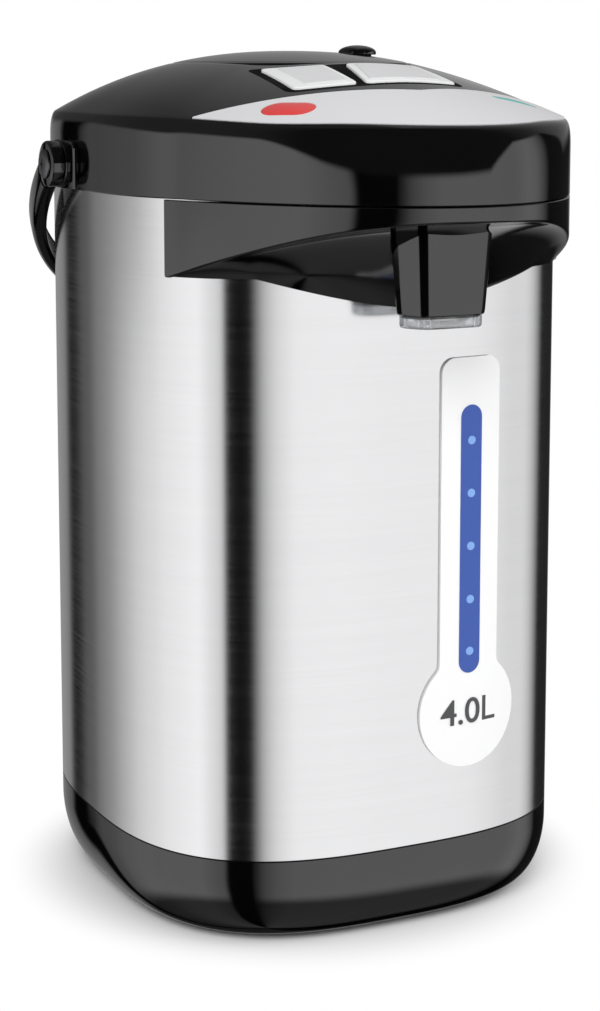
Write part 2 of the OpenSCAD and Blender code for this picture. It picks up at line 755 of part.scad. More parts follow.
// ---- buttons ----
stem_low = 320.4;
stem_r = 2.6;
flange = 1.4;
module button(xs, mid) {
    top = deck_z(mid[0], mid[1]);
    low = -wall - 0.9;
    x = [xs[2] - flange - 1, xs[1] + flange + 1];
    y = [-arc_front - 3, -arc_rear + 20];
    deck_sheet(x, y, low - 0.1, button_proud) prism(button_outline(xs, 0), 310, 360);
    deck_sheet(x, y, low - 1.4, low) difference() {
        prism(button_outline(xs, flange), 310, 360);
        prism(lid_outline(lid_gap + neck_wall + clear_gap), 305, 365);
    }
    post(mid[0], mid[1], stem_r, stem_low, top - wall - 1);
}
module unlock_button() {
    color(label_colour) button(unlock_x, unlock_mid);
}
module dispense_button() {
    color(label_colour) button(dispense_x, dispense_mid);
}
coil_r = 5.2;
wire_r = 0.5;
coil_turns = 5;
coil_steps = 10;
function coil(mid, z0, z1) = [for (i = [0:coil_turns * coil_steps])
    [mid[0] + coil_r * cos(360 * i / coil_steps), mid[1] + coil_r * sin(360 * i / coil_steps),
        z0 + (z1 - z0) * i / (coil_turns * coil_steps)]];
module button_spring(mid) {
    z1 = deck_z(mid[0], mid[1]) - wall - 3.6;
    color("#b5b7ba") tube(coil(mid, board_z + board_t + wire_r + 0.1, z1), wire_r, 6);
}
module unlock_spring() {
    button_spring(unlock_mid);
}
module dispense_spring() {
    button_spring(dispense_mid);
}

// ---- lid ----
lid_mid_y = (lid_front_y + lid_rear_y) / 2;
lid_half_d = (lid_rear_y - lid_front_y) / 2;
lid_edge_drop = 5;       // fall of the lid from its middle to its front edge
lid_rear_drop = 9.2;     // how much further it falls at the rear
lid_power = 2.2;
lid_skin = 2.4;
lid_rings = [1, 0.97, 0.9, 0.78, 0.62, 0.44, 0.24];
function lid_fall(a) = lid_edge_drop + lid_rear_drop * pow(max(0, sin(a)), 4);
function lid_z(a, s) = dome_top - lid_fall(a) * pow(s, lid_power);
module lid_solid(grow, drop, floor_z) {
    c = loft_count;
    angles = [for (i = [0:c - 1]) 360 * i / c];
    function rr(a) = polar_r(a, lid_half_w + grow, lid_half_d + grow, lid_n);
    points = concat([for (a = angles) [rr(a) * cos(a), lid_mid_y + rr(a) * sin(a), floor_z]],
        [for (s = lid_rings, a = angles)
            [s * rr(a) * cos(a), lid_mid_y + s * rr(a) * sin(a), lid_z(a, s) - drop]],
        [[0, lid_mid_y, dome_top - drop]]);
    m = len(lid_rings) + 1;
    fan = [for (i = [0:c - 1]) [(m - 1) * c + i, m * c, (m - 1) * c + (i + 1) % c]];
    polyhedron(points, concat([cap(c, 0, false)], side_faces(c, m), fan), 6);
}

vent_x = 29;
vent_y = 4;
vent_r = 4;
vent_cap_r = 8;
liner_in = 5;
liner_low = 306;
arm_half = 18;
arm_y = lid_rear_y - 8;  // front end of the hinge arm, under the lid's skin
knuckle_r = 4.6;
pin_r = 1.5;
module lid_cover() {
    color(black) difference() {
        lid_solid(0, 0, lid_skirt_z);
        lid_solid(-lid_skin, lid_skin, lid_skirt_z - 1);
        post(vent_x, vent_y, 6.1, 320, 360);
        translate([-arm_half, arm_y, lid_skirt_z - 1]) cube([2 * arm_half, 14, 4.4]);
    }
}
module lid_liner() {
    color("#3a3a3c") {
        difference() {
            union() {
                prism(lid_outline(-liner_in), liner_low, lid_skirt_z);
                prism(lid_outline(-0.5), lid_skirt_z - 2, lid_skirt_z);
            }
            prism(lid_outline(-liner_in - 2), liner_low + 2, lid_skirt_z + 1);
            post(vent_x, vent_y, vent_r, 300, 360);
        }
        difference() {
            post(vent_x, vent_y, 6, liner_low + 2, 346);
            post(vent_x, vent_y, vent_r, liner_low + 1, 348);
        }
    }
}
module inner_lid_plate() {
    color("#c8cacc") difference() {
        prism(lid_outline(-liner_in - 1), liner_low - 1, liner_low);
        post(vent_x, vent_y, vent_r, 300, 310);
    }
}
module lid_gasket() {
    color("#cfcac2") ring_prism(lid_outline(-3.4), lid_outline(-liner_in - 1), ledge_top + 0.2, liner_low);
}
module steam_vent_cap() {
    cap_z = 346;
    color(black) difference() {
        union() {
            for (k = [[0, vent_cap_r, 7.7, 1.6], [1.6, 7.7, 6.2, 1.2], [2.8, 6.2, 2.8, 1.2]])
                translate([vent_x, vent_y, cap_z + k[0]]) cylinder(r1 = k[1], r2 = k[2], h = k[3], $fn = 64);
        }
        post(vent_x, vent_y, 6.2, cap_z - 1, cap_z + 0.4);
        post(vent_x, vent_y, vent_r, cap_z - 1, cap_z + 2);
        for (a = [0:45:315]) translate([vent_x, vent_y, cap_z + 0.4]) rotate([0, 0, a])
            translate([0, -0.8, 0]) cube([vent_cap_r + 2, 1.6, 1.2]);
    }
}
module lid_hinge_arm() {
    color(black) difference() {
        union() {
            translate([0, hinge_y, hinge_z]) bar_x(-arm_half, arm_half, knuckle_r);
            translate([-arm_half, arm_y, lid_skirt_z]) cube([2 * arm_half, hinge_y - arm_y, 3.2]);
        }
        translate([0, hinge_y, hinge_z]) bar_x(-arm_half - 1, arm_half + 1, pin_r + bearing_gap);
    }
}
ear_w = 7;
ear_gap = 0.5;
module hinge_bracket() {
    floor_z = 324.4;
    color(black) difference() {
        union() {
            translate([-notch_half, notch_y, notch_z]) cube([2 * notch_half, notch_d, floor_z - notch_z]);
            for (s = [-1, 1])
                translate([s * (arm_half + ear_gap + ear_w / 2), hinge_y, hinge_z]) {
                    bar_x(-ear_w / 2, ear_w / 2, knuckle_r);
                    translate([-ear_w / 2, -knuckle_r, floor_z - hinge_z - 1])
                        cube([ear_w, 2 * knuckle_r, hinge_z - floor_z + 1]);
                }
        }
        translate([0, hinge_y, hinge_z]) bar_x(-40, 40, pin_r);
        prism(lid_outline(lid_gap), 305, 360);
    }
}
module hinge_pin() {
    half = arm_half + ear_gap + ear_w;
    color("#b5b7ba") translate([0, hinge_y, hinge_z]) bar_x(-half, half, pin_r);
}

// ---- carrying bail ----
hub_in = 100.4;
hub_out = 105.6;
hub_r = 9.4;
pivot_pin_r = 4;
module both_sides() {
    for (s = [0, 1]) mirror([s, 0, 0]) translate([0, pivot_y, pivot_z]) children();
}
module handle_pivots() {
    color(black) difference() {
        union() {
            pivot_pads();
            both_sides() {
                bar_x(95, hub_in - 0.3, pivot_boss_r);
                bar_x(95, hub_out + 0.3, pivot_pin_r);
            }
        }
        both_sides() bar_x(96, 112, 1.5);
    }
}
module pivot_screws() {
    color("#77797d") both_sides() {
        bar_x(hub_out + 0.3, hub_out + 1.5, 6);
        bar_x(97, hub_out + 0.3, 1.5);
    }
}
band_half_w = 6.4;       // across the bail's plane
band_half_t = 3;         // in the bail's plane
grip_extra = 3;          // how much wider the grip is at its middle
bail_steps = 40;
band_sides = 12;
bail_start = 4;          // degrees of the ellipse that lie inside the hubs
function bail_point(t) = [bail_half_w * cos(t), 0, -bail_reach * sin(t)];
function bail_normal(t) = unit([cos(t) / bail_half_w, 0, -sin(t) / bail_reach]);
function band_ring(t) =
    let (g = pow(max(0, sin(t)), 6), n = bail_normal(t), p = bail_point(t),
        hw = band_half_w + grip_extra * g, ht = band_half_t + 1.5 * g)
    [for (k = [0:band_sides - 1]) let (b = 360 * (k + 0.5) / band_sides)
        p + n * ht * signed_pow(cos(b), 0.55) + [0, 1, 0] * hw * signed_pow(sin(b), 0.55)];
module hung() {
    translate([0, pivot_y, pivot_z]) rotate([bail_hang, 0, 0]) children();
}
module handle_bail() {
    color(black) difference() {
        hung() loft([for (i = [0:bail_steps])
            band_ring(bail_start + (180 - 2 * bail_start) * i / bail_steps)]);
        both_sides() bar_x(90, 120, hub_r);
    }
}
module handle_hubs() {
    color(black) both_sides() difference() {
        bar_x(hub_in, hub_out, hub_r);
        bar_x(hub_in - 1, hub_out + 1, pivot_pin_r + bearing_gap);
    }
}

base_housing();
base_cover();
rubber_feet();
base_screws();
power_inlet();
inlet_pins();
body_shell();
upper_housing();
filling_neck();
spout_hood();
spout_nozzle();
outlet_tip();
control_label();
boil_lamp_lens();
warm_lamp_lens();
gauge_panel();
gauge_window();
level_tube();
tank_support();
inner_tank();
tank_seal();
tie_rods();
heater_plate();
thermostats();
thermal_fuse();
pump_motor();
pump_housing();
motor_rotor();
pump_impeller();
inlet_hose();
riser_hose();
outlet_hose();
hose_clips();
control_board();
button_switches();
indicator_leds();
board_screws();
unlock_button();
dispense_button();
unlock_spring();
dispense_spring();
lid_cover();
lid_liner();
inner_lid_plate();
lid_gasket();
steam_vent_cap();
lid_hinge_arm();
hinge_bracket();
hinge_pin();
handle_pivots();
pivot_screws();
handle_bail();
handle_hubs();
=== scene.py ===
"""Electric thermo pot of about four litres: its visible pieces, their finishes and a plain studio.

Sizes are in millimetres, +Z up. The origin is on the axis of the steel body, in the plane that the feet
stand on, and the spout points along -Y. A shape is built in millimetres and scaled to metres when it
becomes an object.
"""

import logging
import math
from collections.abc import Callable, Sequence
from dataclasses import dataclass, field
from enum import Enum

import bmesh
import bpy
from mathutils import Matrix, Vector


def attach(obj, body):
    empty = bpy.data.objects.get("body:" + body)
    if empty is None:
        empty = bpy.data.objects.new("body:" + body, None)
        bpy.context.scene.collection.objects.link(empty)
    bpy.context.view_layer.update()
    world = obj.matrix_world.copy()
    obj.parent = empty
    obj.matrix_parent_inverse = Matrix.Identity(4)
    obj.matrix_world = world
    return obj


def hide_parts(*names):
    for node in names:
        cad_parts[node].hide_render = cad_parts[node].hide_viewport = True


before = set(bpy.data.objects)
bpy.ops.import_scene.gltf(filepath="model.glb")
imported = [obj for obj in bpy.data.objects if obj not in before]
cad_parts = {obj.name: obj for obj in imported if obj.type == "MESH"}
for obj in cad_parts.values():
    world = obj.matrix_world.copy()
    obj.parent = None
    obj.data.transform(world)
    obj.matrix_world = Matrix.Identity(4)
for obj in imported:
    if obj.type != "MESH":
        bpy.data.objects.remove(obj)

MM = 0.001
TAU = math.tau
SHARP = math.radians(32.0)
log = logging.getLogger("thermo_pot")

Colour = tuple[float, float, float]
Ring = list[bmesh.types.BMVert]
Place = Callable[[float, float], Vector]
Profile = Sequence[tuple[float, float]]


# ---- Outlines and the surface of the dome ----


def ease(value: float) -> float:
    """Smooth step from 0 to 1, flat at both ends."""
    t = max(0.0, min(1.0, value))
    return t * t * (3 - 2 * t)


def angles(count: int) -> list[float]:
    """Angles in radians, spaced evenly round a full turn."""
    return [TAU * i / count for i in range(count)]


def ray(angle: float, reach: float = 1.0) -> Vector:
    """Point in plan in a direction from the axis."""
    return Vector((reach * math.cos(angle), reach * math.sin(angle), 0.0))


def four(distance: float) -> list[tuple[float, float]]:
    """Four places in plan, mirrored about both axes."""
    return [(across * distance, along * distance) for across in (-1, 1) for along in (-1, 1)]


def arc(start: Vector, corner: Vector, end: Vector, steps: int) -> list[Vector]:
    """Points of a rounded corner.

    Args:
        start: Where the rounding leaves the first side.
        corner: The sharp corner that is rounded.
        end: Where the rounding meets the second side.
        steps: Number of pieces the rounding has.

    Returns:
        steps + 1 points, the two ends among them.
    """
    found = []
    for k in range(steps + 1):
        t = k / steps
        found.append((1 - t) ** 2 * start + 2 * t * (1 - t) * corner + t * t * end)
    return found


def rounded(
    corners: Sequence[Vector], reach: Sequence[float], steps: int, per_side: int = 1
) -> list[Vector]:
    """Closed polygon with rounded corners.

    Args:
        corners: The sharp corners.
        reach: How far from each corner its rounding starts.
        steps: Number of pieces of each rounding.
        per_side: Number of pieces of each side between two roundings.

    Returns:
        The points, starting where the first corner's rounding starts.
    """
    found = []
    for k, corner in enumerate(corners):
        before, after = corners[k - 1], corners[(k + 1) % len(corners)]
        leave = corner + (after - corner).normalized() * reach[k]
        found += arc(corner + (before - corner).normalized() * reach[k], corner, leave, steps)
        enter = after + (corner - after).normalized() * reach[(k + 1) % len(corners)]
        found += [leave.lerp(enter, j / per_side) for j in range(1, per_side)]
    return found


@dataclass(frozen=True)
class Superellipse:
    """Closed outline whose front and rear halves may have different depths."""

    half_w: float
    front: float
    rear: float
    power: float
    centre_y: float = 0.0

    def radius(self, angle: float, grow: float = 0.0) -> float:
        """Distance from the outline's own centre, with the outline grown outwards.

        Args:
            angle: Direction in radians, counter-clockwise from +X.
            grow: How far all half axes are lengthened.

        Returns:
            The distance in millimetres.
        """
        depth = (self.front if math.sin(angle) < 0 else self.rear) + grow
        across = abs(math.cos(angle)) / (self.half_w + grow)
        along = abs(math.sin(angle)) / depth
        return (across**self.power + along**self.power) ** (-1 / self.power)

    def point(self, angle: float, z: float, grow: float = 0.0, share: float = 1.0) -> Vector:
        """Point of the outline, or a share of the way out to it, at a height."""
        r = share * self.radius(angle, grow)
        return Vector((r * math.cos(angle), self.centre_y + r * math.sin(angle), z))

    def loop(self, z: float, grow: float, sides: int) -> list[Vector]:
        """Points all round the grown outline at a height."""
        return [self.point(a, z, grow) for a in angles(sides)]


@dataclass(frozen=True)
class DomeForm:
    """Outline of the collar with its beak, and the dome that closes it at the top."""

    body: Superellipse = Superellipse(97.2, 98.7, 98.7, 2.875)
    beak: Superellipse = Superellipse(96.4, 151.6, 80.0, 1.87)
    blend: float = 0.006
    top: float = 347.6
    rim: float = 321.5
    rim_dip: float = 3.3
    side_power: float = 2.4
    front_power: float = 1.7
    front_from: float = 0.3
    soft_side: tuple[float, float] = (2.4, 9.0)
    soft_tip: tuple[float, float] = (6.4, 23.0)
    soft_from: float = 33.0
    soft_over: float = 19.0

    def rounding(self, angle: float) -> tuple[float, float]:
        """How far the rounding of the rim reaches inwards and down; it grows towards the beak's tip."""
        off = math.degrees(abs(math.remainder(angle + math.pi / 2, TAU)))
        share = ease((self.soft_from - off) / self.soft_over)
        inward, down = (side + (tip - side) * share for side, tip in zip(self.soft_side, self.soft_tip))
        return inward, down

    def radius(self, angle: float, grow: float = 0.0) -> float:
        """Distance of the collar's outer face from the body's axis."""
        trunk = self.body.radius(angle, grow)
        ratio = self.beak.radius(angle, grow) / trunk
        return trunk * 0.5 * (1 + ratio + math.sqrt((ratio - 1) ** 2 + self.blend**2))

    def rim_z(self, angle: float) -> float:
        """Height at which the dome meets the collar."""
        return self.rim - self.rim_dip * max(0.0, -math.sin(angle)) ** 4

    def height(self, angle: float, share: float) -> float:
        """Height of the dome at a share of the way from the axis to the collar."""
        front = ease((self.front_from - math.sin(angle)) / (1 + self.front_from))
        power = self.side_power + (self.front_power - self.side_power) * front
        return self.top - (self.top - self.rim_z(angle)) * min(1.0, share) ** power

    def deck(self, x: float, y: float) -> float:
        """Height of the dome above a place in plan."""
        angle = math.atan2(y, x)
        return self.height(angle, math.hypot(x, y) / self.radius(angle))


UP = Vector((0, 0, 1))
BODY = Superellipse(96.0, 97.5, 97.5, 2.875)
DOME = DomeForm()


# ---- Shader graphs ----


class Wire:
    """Output socket of a shader node, on which arithmetic adds Math nodes."""

    def __init__(self, graph: "Graph", socket: bpy.types.NodeSocket) -> None:
        """Remembers the socket and the graph that it belongs to."""
        self.graph = graph
        self.socket = socket

    def _math(self, operation: str, *values: "Wire | float") -> "Wire":
        """Math node with this operation on two values."""
        return self.graph.node("ShaderNodeMath", {"operation": operation}, dict(enumerate(values)))

    def __add__(self, other: "Wire | float") -> "Wire":
        """Sum."""
        return self._math("ADD", self, other)

    def __sub__(self, other: "Wire | float") -> "Wire":
        """Difference."""
        return self._math("SUBTRACT", self, other)

    def __rsub__(self, other: float) -> "Wire":
        """Difference from a number."""
        return self._math("SUBTRACT", other, self)

    def __mul__(self, other: "Wire | float") -> "Wire":
        """Product."""
        return self._math("MULTIPLY", self, other)

    def __truediv__(self, other: "Wire | float") -> "Wire":
        """Quotient."""
        return self._math("DIVIDE", self, other)

    __radd__, __rmul__ = __add__, __mul__

    def above(self, edge: float, width: float) -> "Wire":
        """0 below an edge and 1 above it, with a soft step of the given width."""
        return self.graph.node(
            "ShaderNodeMapRange",
            {"interpolation_type": "SMOOTHSTEP"},
            {"Value": self, "From Min": edge - width / 2, "From Max": edge + width / 2},
        )


class Graph:
    """Node tree of a material or a world, emptied and built anew."""

    def __init__(self, tree: bpy.types.NodeTree) -> None:
        """Empties the tree."""
        self.tree = tree
        tree.nodes.clear()

    def node(
        self, kind: str, settings: dict | None = None, inputs: dict | None = None, output: str | int = 0
    ) -> Wire:
        """Adds one node.

        Args:
            kind: The node's type.
            settings: Its properties, set before its sockets. "stops" fills a colour ramp.
            inputs: Values or wires, by the name or number of the socket.
            output: Name or number of the output that is wanted.

        Returns:
            That output.
        """
        made = self.tree.nodes.new(kind)
        for name, value in (settings or {}).items():
            if name == "stops":
                self._fill_ramp(made.color_ramp, value)
            else:
                setattr(made, name, value)
        for name, value in (inputs or {}).items():
            if isinstance(value, Wire):
                self.tree.links.new(value.socket, made.inputs[name])
            else:
                made.inputs[name].default_value = value
        return Wire(self, made.outputs[output] if made.outputs else made.inputs[0])

    @staticmethod
    def _fill_ramp(ramp: bpy.types.ColorRamp, stops: Profile) -> None:
        """Sets the stops of a ramp from pairs of place and grey level."""
        while len(ramp.elements) < len(stops):
            ramp.elements.new(1.0)
        for element, (place, level) in zip(ramp.elements, stops):
            element.position = place
            element.color = (level, level, level, 1.0)

    def places(self) -> Wire:
        """Object coordinates, which are metres in the pot's own frame."""
        return self.node("ShaderNodeTexCoord", output="Object")

    def noise(self, vector: Wire, scale: float, detail: float = 2.0, rough: float = 0.5) -> Wire:
        """Noise from 0 to 1 at a scale in cells per metre."""
        inputs = {"Vector": vector, "Scale": scale, "Detail": detail, "Roughness": rough}
        return self.node("ShaderNodeTexNoise", None, inputs)

    def stretched(self, vector: Wire, scale: tuple[float, float, float]) -> Wire:
        """The same coordinates with each axis scaled."""
        return self.node("ShaderNodeMapping", None, {"Vector": vector, "Scale": scale})

    def mix(self, share: "Wire | float", first: Colour | Wire, second: Colour | Wire) -> Wire:
        """Colour mixed from two others."""
        made = self.tree.nodes.new("ShaderNodeMix")
        made.data_type = "RGBA"
        sockets = made.inputs[0], made.inputs[6], made.inputs[7]
        for socket, value in zip(sockets, (share, first, second)):
            if isinstance(value, Wire):
                self.tree.links.new(value.socket, socket)
            else:
                socket.default_value = value if isinstance(value, float) else (*value, 1.0)
        return Wire(self, made.outputs[2])

    def bump(self, height: Wire, distance: float) -> Wire:
        """Normal that follows a height, where a height of 1 stands for a distance in millimetres."""
        return self.node(
            "ShaderNodeBump", None, {"Height": height, "Distance": distance * MM, "Strength": 1.0}
        )

    def by_bearing(self, place: Wire, stops: Profile, top: float = 1.0) -> Wire:
        """Ramp round the horizon.

        Args:
            place: Share of the full turn.
            stops: Pairs of bearing in degrees, from -180 to 180, and level.
            top: Level that counts as 1.

        Returns:
            The level as a share of the top.
        """
        shares = [((degrees + 180) / 360, level / top) for degrees, level in stops]
        return self.node("ShaderNodeValToRGB", {"stops": shares}, {"Fac": place})


# ---- Finishes ----


@dataclass(frozen=True)
class Finish:
    """A surface finish. A subclass says how its colour, roughness and relief vary."""

    name: str
    colour: Colour = (0.5, 0.5, 0.5)
    rough: float = 0.4

    def constants(self) -> dict[str, float | tuple]:
        """Values that are the same all over the surface, by socket."""
        return {}

    def vary(self, graph: Graph) -> dict[str, Wire]:
        """What changes over the surface, by socket."""
        raise NotImplementedError

    def material(self) -> bpy.types.Material:
        """The finish as a material, made once."""
        found = bpy.data.materials.get(self.name)
        if found:
            return found
        made = bpy.data.materials.new(self.name)
        made.use_nodes = True
        graph = Graph(made.node_tree)
        plain = {"Base Color": (*self.colour, 1.0), "Roughness": self.rough, **self.constants()}
        surface = graph.node("ShaderNodeBsdfPrincipled", None, {**plain, **self.vary(graph)})
        graph.node("ShaderNodeOutputMaterial", None, {"Surface": surface})
        return made


@dataclass(frozen=True)
class Moulding(Finish):
    """Moulded plastic with faint orange peel and a film of handling marks."""

    peel: float = 0.004
    peel_scale: float = 160.0
    smear: float = 0.06
    ior: float = 1.5

    def constants(self) -> dict[str, float | tuple]:
        """Index of the plastic."""
        return {"IOR": self.ior}

    def vary(self, graph: Graph) -> dict[str, Wire]:
        """Smears in the gloss, a slight drift of the colour and the peel."""
        here = graph.places()
        smears = graph.noise(graph.stretched(here, (1.0, 1.0, 0.6)), 34.0, 4.0, 0.6)
        drift = graph.noise(here, 9.0)
        pale = tuple(min(1.0, c * 1.12 + 0.0005) for c in self.colour)
        return {
            "Base Color": graph.mix(drift, self.colour, pale),
            "Roughness": smears.above(0.55, 0.35) * self.smear + self.rough,
            "Normal": graph.bump(graph.noise(here, self.peel_scale, 1.0), self.peel),
        }


@dataclass(frozen=True)
class Grained(Finish):
    """Moulded plastic with a spark-eroded grain, matt."""

    grain: float = 0.03

    def vary(self, graph: Graph) -> dict[str, Wire]:
        """Fine grain in the relief and the gloss."""
        here = graph.places()
        grain = graph.noise(here, 1900.0, 2.0, 0.7)
        pale = tuple(c * 1.25 + 0.002 for c in self.colour)
        return {
            "Base Color": graph.mix(graph.noise(here, 25.0), self.colour, pale),
            "Roughness": grain * 0.12 + (self.rough - 0.06),
            "Normal": graph.bump(grain, self.grain),
        }


@dataclass(frozen=True)
class BrushedSteel(Finish):
    """Stainless sheet, brushed round the body."""

    streak: float = 0.0035
    streak_scale: float = 1500.0
    along: tuple[float, float, float] = (0.012, 0.012, 1.0)

    def constants(self) -> dict[str, float | tuple]:
        """A metal throughout."""
        return {"Metallic": 1.0}

    def vary(self, graph: Graph) -> dict[str, Wire]:
        """Streaks in the colour, the gloss and the relief."""
        here = graph.places()
        drawn = graph.stretched(here, self.along)
        fine = graph.noise(drawn, self.streak_scale, 3.0, 0.65)
        broad = graph.noise(drawn, self.streak_scale * 0.14, 2.0)
        cloud = graph.noise(here, 14.0)
        dark = tuple(c * 0.9 for c in self.colour)
        return {
            "Base Color": graph.mix(fine * 0.6 + broad * 0.4, dark, self.colour),
            "Roughness": fine * 0.1 + cloud * 0.03 + (self.rough - 0.06),
            "Normal": graph.bump(fine, self.streak),
        }


@dataclass(frozen=True)
class PlainMetal(Finish):
    """Plated, cast or drawn metal with a cloudy gloss."""

    cloud_scale: float = 120.0
    relief: float = 0.01

    def constants(self) -> dict[str, float | tuple]:
        """A metal throughout."""
        return {"Metallic": 1.0}

    def vary(self, graph: Graph) -> dict[str, Wire]:
        """Clouds in the colour and the gloss, and a fine relief."""
        here = graph.places()
        cloud = graph.noise(here, self.cloud_scale, 3.0)
        dark = tuple(c * 0.78 for c in self.colour)
        return {
            "Base Color": graph.mix(cloud, dark, self.colour),
            "Roughness": cloud * 0.2 + (self.rough - 0.1),
            "Normal": graph.bump(graph.noise(here, self.cloud_scale * 6, 2.0), self.relief),
        }


@dataclass(frozen=True)
class PrintedFilm(Finish):
    """Satin film or printed panel, with a fine sparkle in its ink."""

    sparkle: float = 0.06
    coat: float = 0.25

    def constants(self) -> dict[str, float | tuple]:
        """A thin clear coat over the ink."""
        return {"Coat Weight": self.coat, "Coat Roughness": 0.12}

    def vary(self, graph: Graph) -> dict[str, Wire]:
        """Sparkle in the colour and a slight unevenness of the gloss."""
        here = graph.places()
        flake = graph.noise(here, 2600.0, 1.0, 0.8)
        drift = graph.noise(here, 18.0)
        shade = tuple(c * (1 - self.sparkle) for c in self.colour)
        return {
            "Base Color": graph.mix(flake * 0.7 + drift * 0.3, shade, self.colour),
            "Roughness": drift * 0.1 + (self.rough - 0.05),
            "Normal": graph.bump(flake, 0.003),
        }


@dataclass(frozen=True)
class Tinted(Finish):
    """Tinted or clear moulding that light passes through in part."""

    clear: float = 0.3
    coat: float = 0.3

    def constants(self) -> dict[str, float | tuple]:
        """How much passes through, and the gloss over it."""
        through = {"Transmission Weight": self.clear, "IOR": 1.49}
        return {**through, "Coat Weight": self.coat, "Coat Roughness": 0.05}

    def vary(self, graph: Graph) -> dict[str, Wire]:
        """Flow marks of the moulding."""
        here = graph.places()
        flow = graph.noise(graph.stretched(here, (1.0, 1.0, 0.4)), 210.0, 2.0)
        deep = tuple(c * 0.88 for c in self.colour)
        return {
            "Base Color": graph.mix(flow, deep, self.colour),
            "Roughness": flow * 0.06 + self.rough,
            "Normal": graph.bump(flow, 0.01),
        }


@dataclass(frozen=True)
class Soft(Finish):
    """Rubber or silicone, matt, with a dusty bloom."""

    def vary(self, graph: Graph) -> dict[str, Wire]:
        """Bloom in the colour and a fine pitted relief."""
        here = graph.places()
        bloom = graph.noise(here, 60.0, 3.0)
        pits = graph.noise(here, 900.0, 2.0)
        pale = tuple(c * 1.15 + 0.01 for c in self.colour)
        return {
            "Base Color": graph.mix(bloom.above(0.6, 0.4), self.colour, pale),
            "Roughness": bloom * 0.12 + (self.rough - 0.06),
            "Normal": graph.bump(pits, 0.02),
        }


@dataclass(frozen=True)
class Matt(Soft):
    """Finish that hardly shines, even edge on; on the sheet round the keys it paints shade."""

    def constants(self) -> dict[str, float | tuple]:
        """Very little gloss."""
        return {"Specular IOR Level": 0.06}


class Look(Enum):
    """The finishes of the pot, each with the record's material slot that it stands for."""

    BLACK = (
        Moulding("gloss_black", (0.0008, 0.0008, 0.001), 0.04, smear=0.04, ior=1.72), "black_plastic"
    )
    # Matt black sheet round the keys: painted shade.
    KEY_SHADE = (Matt("painted_key_shade", (0.004, 0.004, 0.004), 0.7), "rubber_foot")
    DARK = (Grained("grained_black", (0.022, 0.022, 0.023), 0.55), "dark_plastic")
    SHEET = (BrushedSteel("brushed_sheet", (0.735, 0.735, 0.745), 0.135), "steel_sheet")
    TANK = (BrushedSteel("satin_tank", (0.66, 0.66, 0.655), 0.3, streak=0.002), "tank_steel")
    ZINC = (PlainMetal("zinc_plate", (0.58, 0.59, 0.6), 0.38), "zinc_steel")
    SPRING = (PlainMetal("spring_wire", (0.5, 0.5, 0.51), 0.35), "spring_steel")
    SCREW = (PlainMetal("dark_screw", (0.16, 0.16, 0.17), 0.4), "screw_steel")
    FOOT = (Soft("foot_rubber", (0.03, 0.03, 0.03), 0.8), "rubber_foot")
    BRASS = (PlainMetal("brass_pin", (0.78, 0.6, 0.3), 0.3), "brass")
    CLEAR = (Tinted("clear_tip", (0.93, 0.95, 0.96), 0.05, clear=0.9), "clear_plastic")
    TUBE = (Tinted("clear_tube", (0.85, 0.9, 0.95), 0.1, clear=0.6), "tube_plastic")
    WHITE = (PrintedFilm("white_panel", (0.86, 0.86, 0.865), 0.32, sparkle=0.02), "white_plastic")
    KEY = (Moulding("pale_key", (0.74, 0.75, 0.75), 0.3, peel=0.006), "white_plastic")
    KEY_PAD = (Moulding("key_pad", (0.62, 0.62, 0.63), 0.34, peel=0.006), "white_plastic")
    LABEL = (PrintedFilm("silver_label", (0.68, 0.68, 0.695), 0.37, coat=0.08), "label_film")
    RED = (Tinted("red_lens", (0.28, 0.052, 0.042), 0.18, clear=0.05, coat=0.0), "red_lens")
    TEAL = (Tinted("teal_lens", (0.085, 0.25, 0.27), 0.14, clear=0.05, coat=0.0), "teal_lens")
    BLUE = (PrintedFilm("blue_strip", (0.03, 0.085, 0.38), 0.35, sparkle=0.12, coat=0.0), "blue_window")
    DOT = (PrintedFilm("pale_dot", (0.2, 0.38, 0.78), 0.3, coat=0.0), "blue_window")
    INK = (PrintedFilm("dark_ink", (0.06, 0.06, 0.065), 0.45, coat=0.0), "white_plastic")
    SILICONE = (Soft("silicone", (0.62, 0.6, 0.56), 0.55), "silicone")
    FRAME = (PlainMetal("galvanised", (0.55, 0.56, 0.57), 0.45, cloud_scale=60.0), "frame_metal")
    CAST = (PlainMetal("cast_alloy", (0.5, 0.48, 0.45), 0.6, relief=0.05), "cast_alloy")
    CERAMIC = (Soft("ceramic", (0.7, 0.62, 0.45), 0.7), "ceramic")
    CAN = (PlainMetal("motor_can", (0.52, 0.53, 0.55), 0.4), "motor_metal")
    PUMP = (Grained("natural_plastic", (0.7, 0.69, 0.64), 0.5), "pump_plastic")
    IRON = (PlainMetal("rotor_iron", (0.28, 0.28, 0.29), 0.5), "rotor_iron")
    BOARD = (Grained("solder_resist", (0.02, 0.16, 0.07), 0.4), "circuit_board")
    LED = (Tinted("led_epoxy", (0.85, 0.83, 0.76), 0.1, clear=0.5), "led_plastic")

    def __init__(self, finish: Finish, slot: str) -> None:
        """Splits the member's value into the finish and the slot's name."""
        self.finish = finish
        self.slot = slot


# ---- Shapes ----


def placed(name: str, data: bpy.types.ID) -> bpy.types.Object:
    """New object with this data, at the scene's origin."""
    made = bpy.data.objects.new(name, data)
    bpy.context.scene.collection.objects.link(made)
    return made


